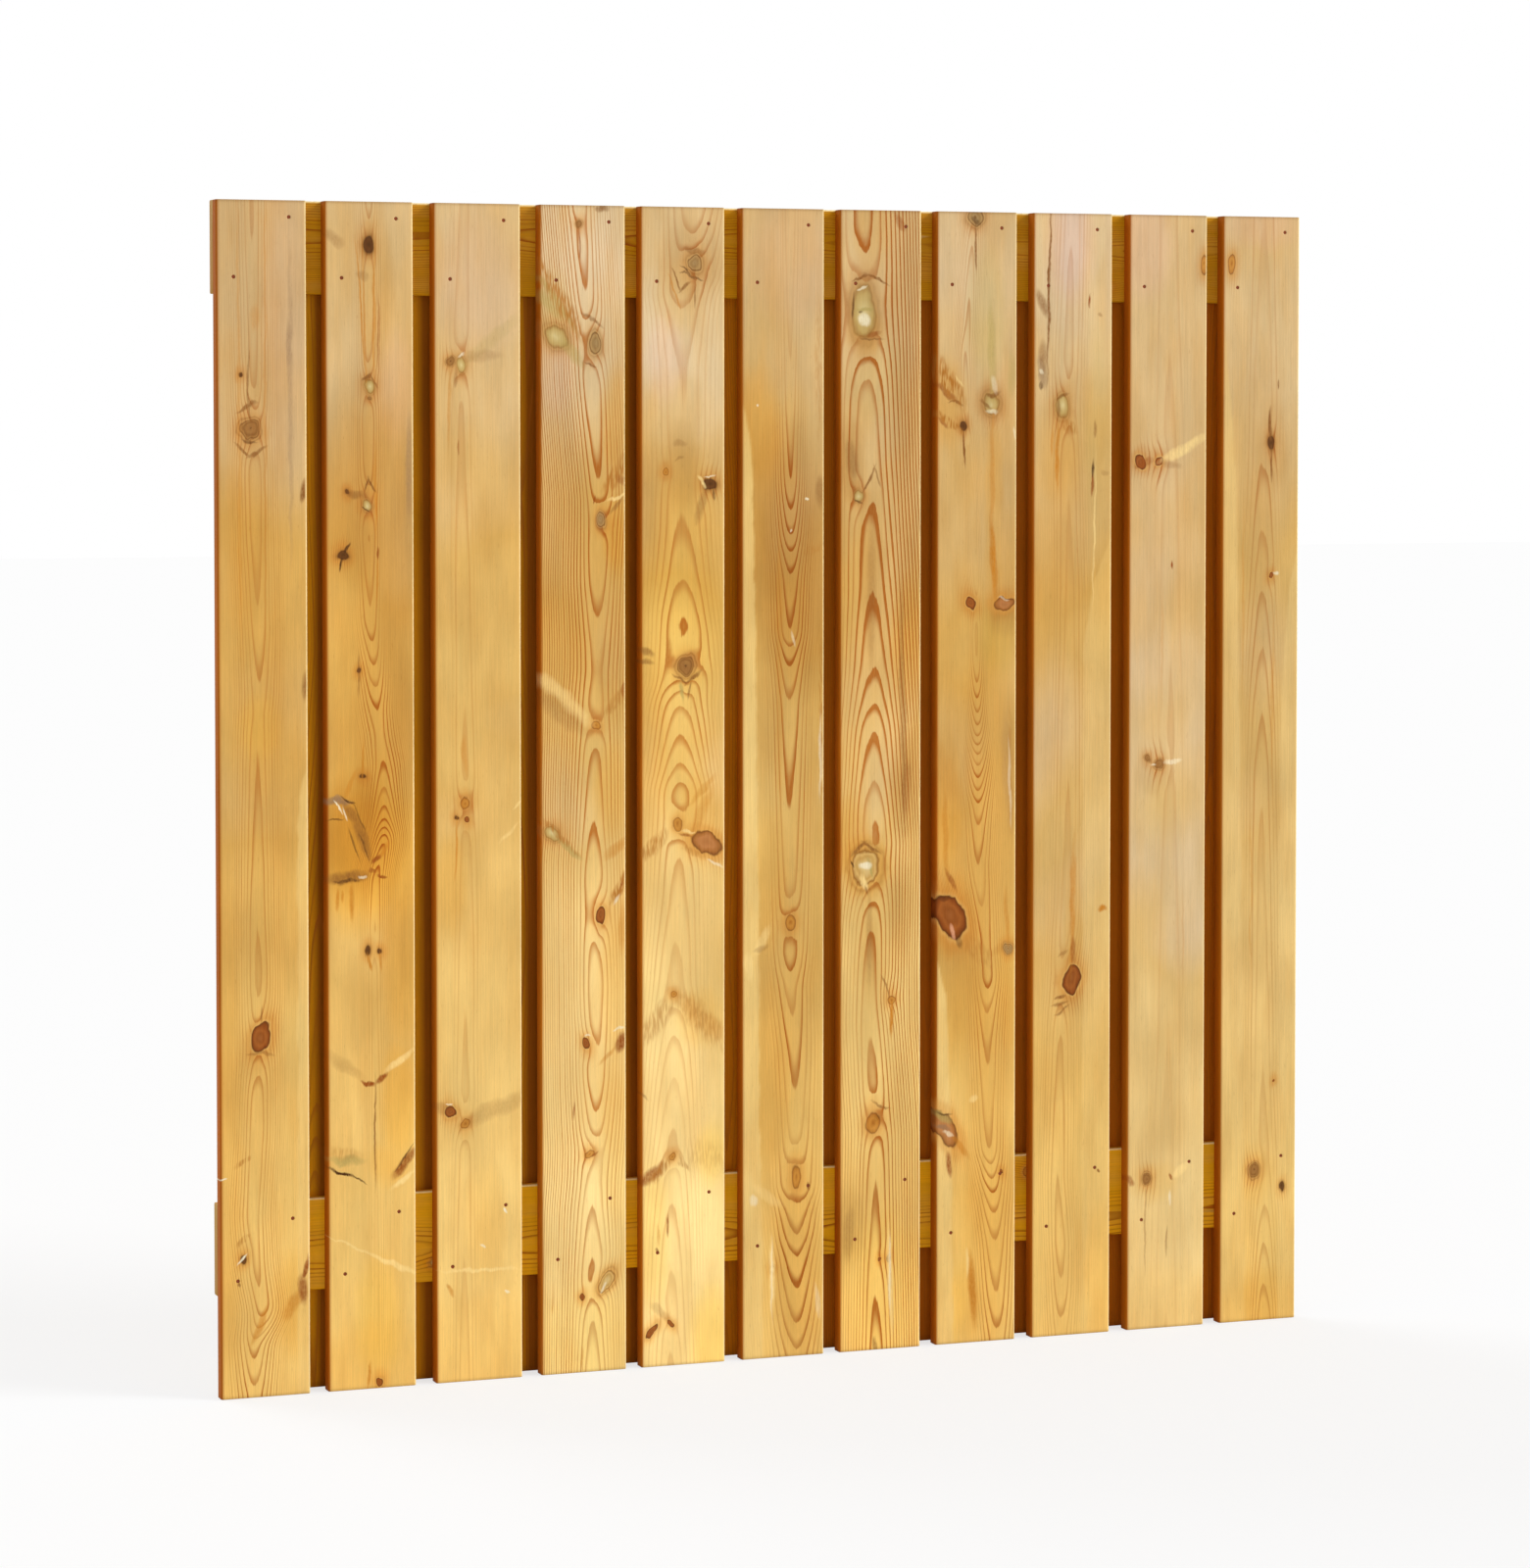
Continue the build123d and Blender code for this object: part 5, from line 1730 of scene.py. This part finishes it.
class FENCE_OT_front_boards(bpy.types.Operator):
    """Make the eleven front boards, each with its own grain, knots and marks"""

    bl_idname = "fence_panel.front_boards"
    bl_label = "Front boards"

    def execute(self, context):
        sizes, colours = context.scene.fence_sizes, context.scene.fence_colours
        faces = (colours.heart_low, colours.heart_middle, colours.heart_high)
        inner = opaque(colours.bare)
        shape = board_shape(sizes, FRONT_BOARD_COLUMNS)
        for number, (node, figure) in enumerate(zip(FRONT_BOARDS, FRONT_PLANKS), 1):
            name = f"Planed pine, front board {number}"
            material = pine(name, colours, faces, colours.shaded_side, inner, figure)
            step = sizes.face_step
            make_timber(node, number, figure, shape, step, board_pits(), stand, material)
        return {"FINISHED"}


class FENCE_OT_back_boards(bpy.types.Operator):
    """Make the ten back boards behind the gaps"""

    bl_idname = "fence_panel.back_boards"
    bl_label = "Back boards"

    def execute(self, context):
        sizes, colours = context.scene.fence_sizes, context.scene.fence_colours
        faces = (colours.heart_low, colours.heart_middle, colours.heart_high)
        # The painted shadow's colour, a darker copy of the sides' colour
        painted_shadow = shade_of(colours.shaded_side, PAINTED_SHADOW_FACTORS)
        shape = board_shape(sizes, BACK_BOARD_COLUMNS)
        place = partial(stand, side=-1)
        step = 2 * sizes.face_step
        rng = np.random.default_rng(BACK_BOARD_SEED)
        for number, (node, shaded_face) in enumerate(zip(BACK_BOARDS, SHADED_BACK_FACES), 1):
            figure = unseen_figure(rng, BOARD_SIZE.z / MM, rng.uniform(0.35, 0.75))
            figure["painted_shadow"] = PAINTED_SHADOW_AMOUNT if number <= SHADOWED_BACK_BOARDS else 0.0
            name = f"Planed pine, back board {number}"
            material = pine(name, colours, faces, to_linear(shaded_face), painted_shadow, figure)
            plank_number = FIRST_BACK_PLANK + number
            make_timber(node, plank_number, figure, shape, step, board_pits(), place, material)
        return {"FINISHED"}


class FENCE_OT_rails(bpy.types.Operator):
    """Make the two lying rails between the layers of boards"""

    bl_idname = "fence_panel.rails"
    bl_label = "Rails"

    def execute(self, context):
        sizes, colours = context.scene.fence_sizes, context.scene.fence_colours
        arris = sizes.rail_arris / MM
        shape = timber_section(RAIL_SIZE.z / MM, RAIL_SIZE.y / MM, arris, arris, RAIL_COLUMNS, 2)
        inner = opaque(colours.bare)
        step = 2 * sizes.face_step
        rng = np.random.default_rng(RAIL_SEED)
        for number, (node, colour) in enumerate(zip(RAILS, (colours.rail, colours.lower_rail)), 1):
            figure = unseen_figure(rng, RAIL_SIZE.x / MM, 0.8)
            name = f"Sawn pine, rail {number}"
            material = pine(name, colours, (colour,) * 3, colour, inner, figure, RAIL_LINE_SHADE)
            plank_number = FIRST_RAIL_PLANK + number
            make_timber(node, plank_number, figure, shape, step, [], lie, material)
        return {"FINISHED"}


def nail_rings(head_diameter):
    """A nail's outline from its domed head to its point: depth under the head, and radius."""
    head = head_diameter / 2
    return [
        (0.00000, 0.35 * head),
        (0.00003, 0.75 * head),
        (0.00012, 0.97 * head),
        (0.00030, head),
        (0.00105, head),
        (0.00120, 0.96 * head),
        (0.00130, 0.00150),
        (0.03100, 0.00150),
        (0.03500, 0.00015),
    ]


def nail_mesh(places, rings, side):
    """Points and faces of nails, their heads at places and outward to side, -1 front or 1 back."""
    turns = [2 * math.pi * k / NAIL_SIDES for k in range(NAIL_SIDES)]
    last = len(rings) - 1
    points, faces = [], []
    for x, y, z in places:
        start = len(points)
        for depth, r in rings:
            points += [(x + r * math.cos(t), y - side * depth, z + r * math.sin(t)) for t in turns]
        for ring in range(last):
            row = start + ring * NAIL_SIDES
            for k in range(NAIL_SIDES):
                a, b = row + k, row + (k + 1) % NAIL_SIDES
                faces.append((a, b, b + NAIL_SIDES, a + NAIL_SIDES))
        faces.append(tuple(reversed(range(start, start + NAIL_SIDES))))
        faces.append(tuple(range(start + NAIL_SIDES * last, start + NAIL_SIDES * (last + 1))))
    if side > 0:
        faces = [tuple(reversed(face)) for face in faces]
    return points, faces


class FENCE_OT_nails(bpy.types.Operator):
    """Make the nails, a pair on a slant where each board crosses a rail"""

    bl_idname = "fence_panel.nails"
    bl_label = "Nails"

    def execute(self, context):
        sizes = context.scene.fence_sizes
        material = nail_steel(context.scene.fence_colours)
        rings = nail_rings(sizes.nail_head)
        for nodes, boards, side in ((FRONT_NAILS, FRONT_BOARDS, -1), (BACK_NAILS, BACK_BOARDS, 1)):
            right = NAIL_ACROSS * MM * -side
            for node, upper, lower in zip(nodes, UPPER_NAILS, LOWER_NAILS):
                places = []
                for board in boards:
                    low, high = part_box(board)
                    middle = (low.x + high.x) / 2
                    head_y = (low.y if side < 0 else high.y) - side * sizes.nail_sink
                    places.append((middle + right, head_y, upper * MM))
                    places.append((middle - right, head_y, lower * MM))
                points, faces = nail_mesh(places, rings, side)
                add_piece(node, ("_steel", "_round"), points, faces, 50, material)
        return {"FINISHED"}


def floor_material(colour):
    """Pale floor that shows near white and keeps a soft shadow."""
    material = bpy.data.materials.new("Pale floor")
    paint = Paint(material)
    place = paint.node("ShaderNodeTexCoord").outputs["Object"]
    cloud = paint.noise(place, 0.6, 3.0)
    tone = paint.blend(paint.between(cloud, 0.3, 0.7, 0.0, 0.03), opaque(colour), opaque(colour, 0.9))
    matt = paint.node("ShaderNodeBsdfDiffuse", {"Color": tone}).outputs["BSDF"]
    glow = paint.node("ShaderNodeEmission", {"Color": WHITE, "Strength": 1.0}).outputs["Emission"]
    rays = paint.node("ShaderNodeLightPath").outputs
    seen = paint.math("MAXIMUM", rays["Is Camera Ray"], rays["Is Glossy Ray"])
    mix = paint.node("ShaderNodeMixShader", {0: paint.times(seen, 0.72), 1: matt, 2: glow})
    paint.node("ShaderNodeOutputMaterial", {"Surface": mix.outputs["Shader"]})
    return material


def studio_world(strength):
    """Even white light, and a white backdrop for the camera, gloss and glass."""
    world = bpy.data.worlds.new("Studio")
    paint = Paint(world)
    even = paint.node("ShaderNodeBackground", {"Color": WHITE, "Strength": strength}).outputs[0]
    white = paint.node("ShaderNodeBackground", {"Color": WHITE, "Strength": 1.0}).outputs[0]
    rays = paint.node("ShaderNodeLightPath").outputs
    seen = paint.math("MAXIMUM", rays["Is Camera Ray"], rays["Is Glossy Ray"])
    seen = paint.math("MAXIMUM", seen, rays["Is Transmission Ray"])
    mix = paint.node("ShaderNodeMixShader", {0: seen, 1: even, 2: white})
    paint.node("ShaderNodeOutputWorld", {"Surface": mix.outputs[0]})
    return world


def soft_sun(name, strength, soft_degrees, toward):
    """A broad sun that shines along the given direction."""
    lamp = bpy.data.lights.new(name, "SUN")
    lamp.energy = strength
    lamp.angle = math.radians(soft_degrees)
    holder = bpy.data.objects.new(name, lamp)
    holder.rotation_mode = "QUATERNION"
    holder.rotation_quaternion = Vector(toward).to_track_quat("-Z", "Y")
    bpy.context.scene.collection.objects.link(holder)


def pale_floor(colour, half=40.0):
    """A square floor, half a millimetre under the panel's foot."""
    corners = [(-half, -half, 0), (half, -half, 0), (half, half, 0), (-half, half, 0)]
    mesh = bpy.data.meshes.new("floor")
    mesh.from_pydata(corners, [], [(0, 1, 2, 3)])
    mesh.materials.append(floor_material(colour))
    floor = bpy.data.objects.new("floor", mesh)
    floor.location.z = -0.0005
    bpy.context.scene.collection.objects.link(floor)


def photo_camera(focal_length):
    """The camera where the photograph was taken from."""
    lens = bpy.data.cameras.new("camera")
    lens.lens = focal_length
    lens.sensor_width = 36.0
    lens.sensor_fit = "AUTO"
    lens.shift_y = -CAMERA_SHIFT_DOWN
    camera = bpy.data.objects.new("camera", lens)
    camera.location = CAMERA_PLACE
    camera.rotation_euler = (math.radians(90 - CAMERA_DOWN), 0.0, -math.radians(CAMERA_TO_RIGHT))
    bpy.context.scene.collection.objects.link(camera)
    bpy.context.scene.camera = camera


class FENCE_OT_stage(bpy.types.Operator):
    """Set up the floor, the white backdrop, the light and the camera"""

    bl_idname = "fence_panel.stage"
    bl_label = "Stage"

    def execute(self, context):
        stage = context.scene.fence_stage
        context.scene.view_settings.view_transform = "Standard"
        pale_floor(stage.floor)
        context.scene.world = studio_world(stage.sky_strength)
        soft_sun("key", stage.key_strength, 24.0, (-0.85, 0.52, -0.5))
        soft_sun("fill_behind", stage.key_strength * 0.55, 40.0, (0.5, -0.8, -0.6))
        photo_camera(stage.lens)
        return {"FINISHED"}


class FENCE_PT_panel(bpy.types.Panel):
    """Fence panel in the 3D view's sidebar"""

    bl_idname = "FENCE_PT_panel"
    bl_label = "Fence panel"
    bl_space_type = "VIEW_3D"
    bl_region_type = "UI"
    bl_category = "Fence panel"

    def draw(self, context):
        for group in (context.scene.fence_sizes, context.scene.fence_colours, context.scene.fence_stage):
            box = self.layout.box()
            for name in group.__annotations__:
                box.prop(group, name)
        for operator in OPERATORS:
            self.layout.operator(operator.bl_idname)


GROUPS = {
    "fence_sizes": FencePanelSizes,
    "fence_colours": FencePanelColours,
    "fence_stage": FencePanelStage,
}
OPERATORS = (
    FENCE_OT_front_boards,
    FENCE_OT_back_boards,
    FENCE_OT_rails,
    FENCE_OT_nails,
    FENCE_OT_stage,
)


def register():
    for name, group in GROUPS.items():
        bpy.utils.register_class(group)
        setattr(bpy.types.Scene, name, bpy.props.PointerProperty(type=group))
    for kind in OPERATORS + (FENCE_PT_panel,):
        bpy.utils.register_class(kind)


def unregister():
    for kind in reversed(OPERATORS + (FENCE_PT_panel,)):
        bpy.utils.unregister_class(kind)
    for name, group in GROUPS.items():
        delattr(bpy.types.Scene, name)
        bpy.utils.unregister_class(group)


def main():
    register()
    bpy.ops.fence_panel.front_boards()
    bpy.ops.fence_panel.back_boards()
    bpy.ops.fence_panel.rails()
    bpy.ops.fence_panel.nails()
    bpy.ops.fence_panel.stage()


if __name__ == "__main__":
    main()
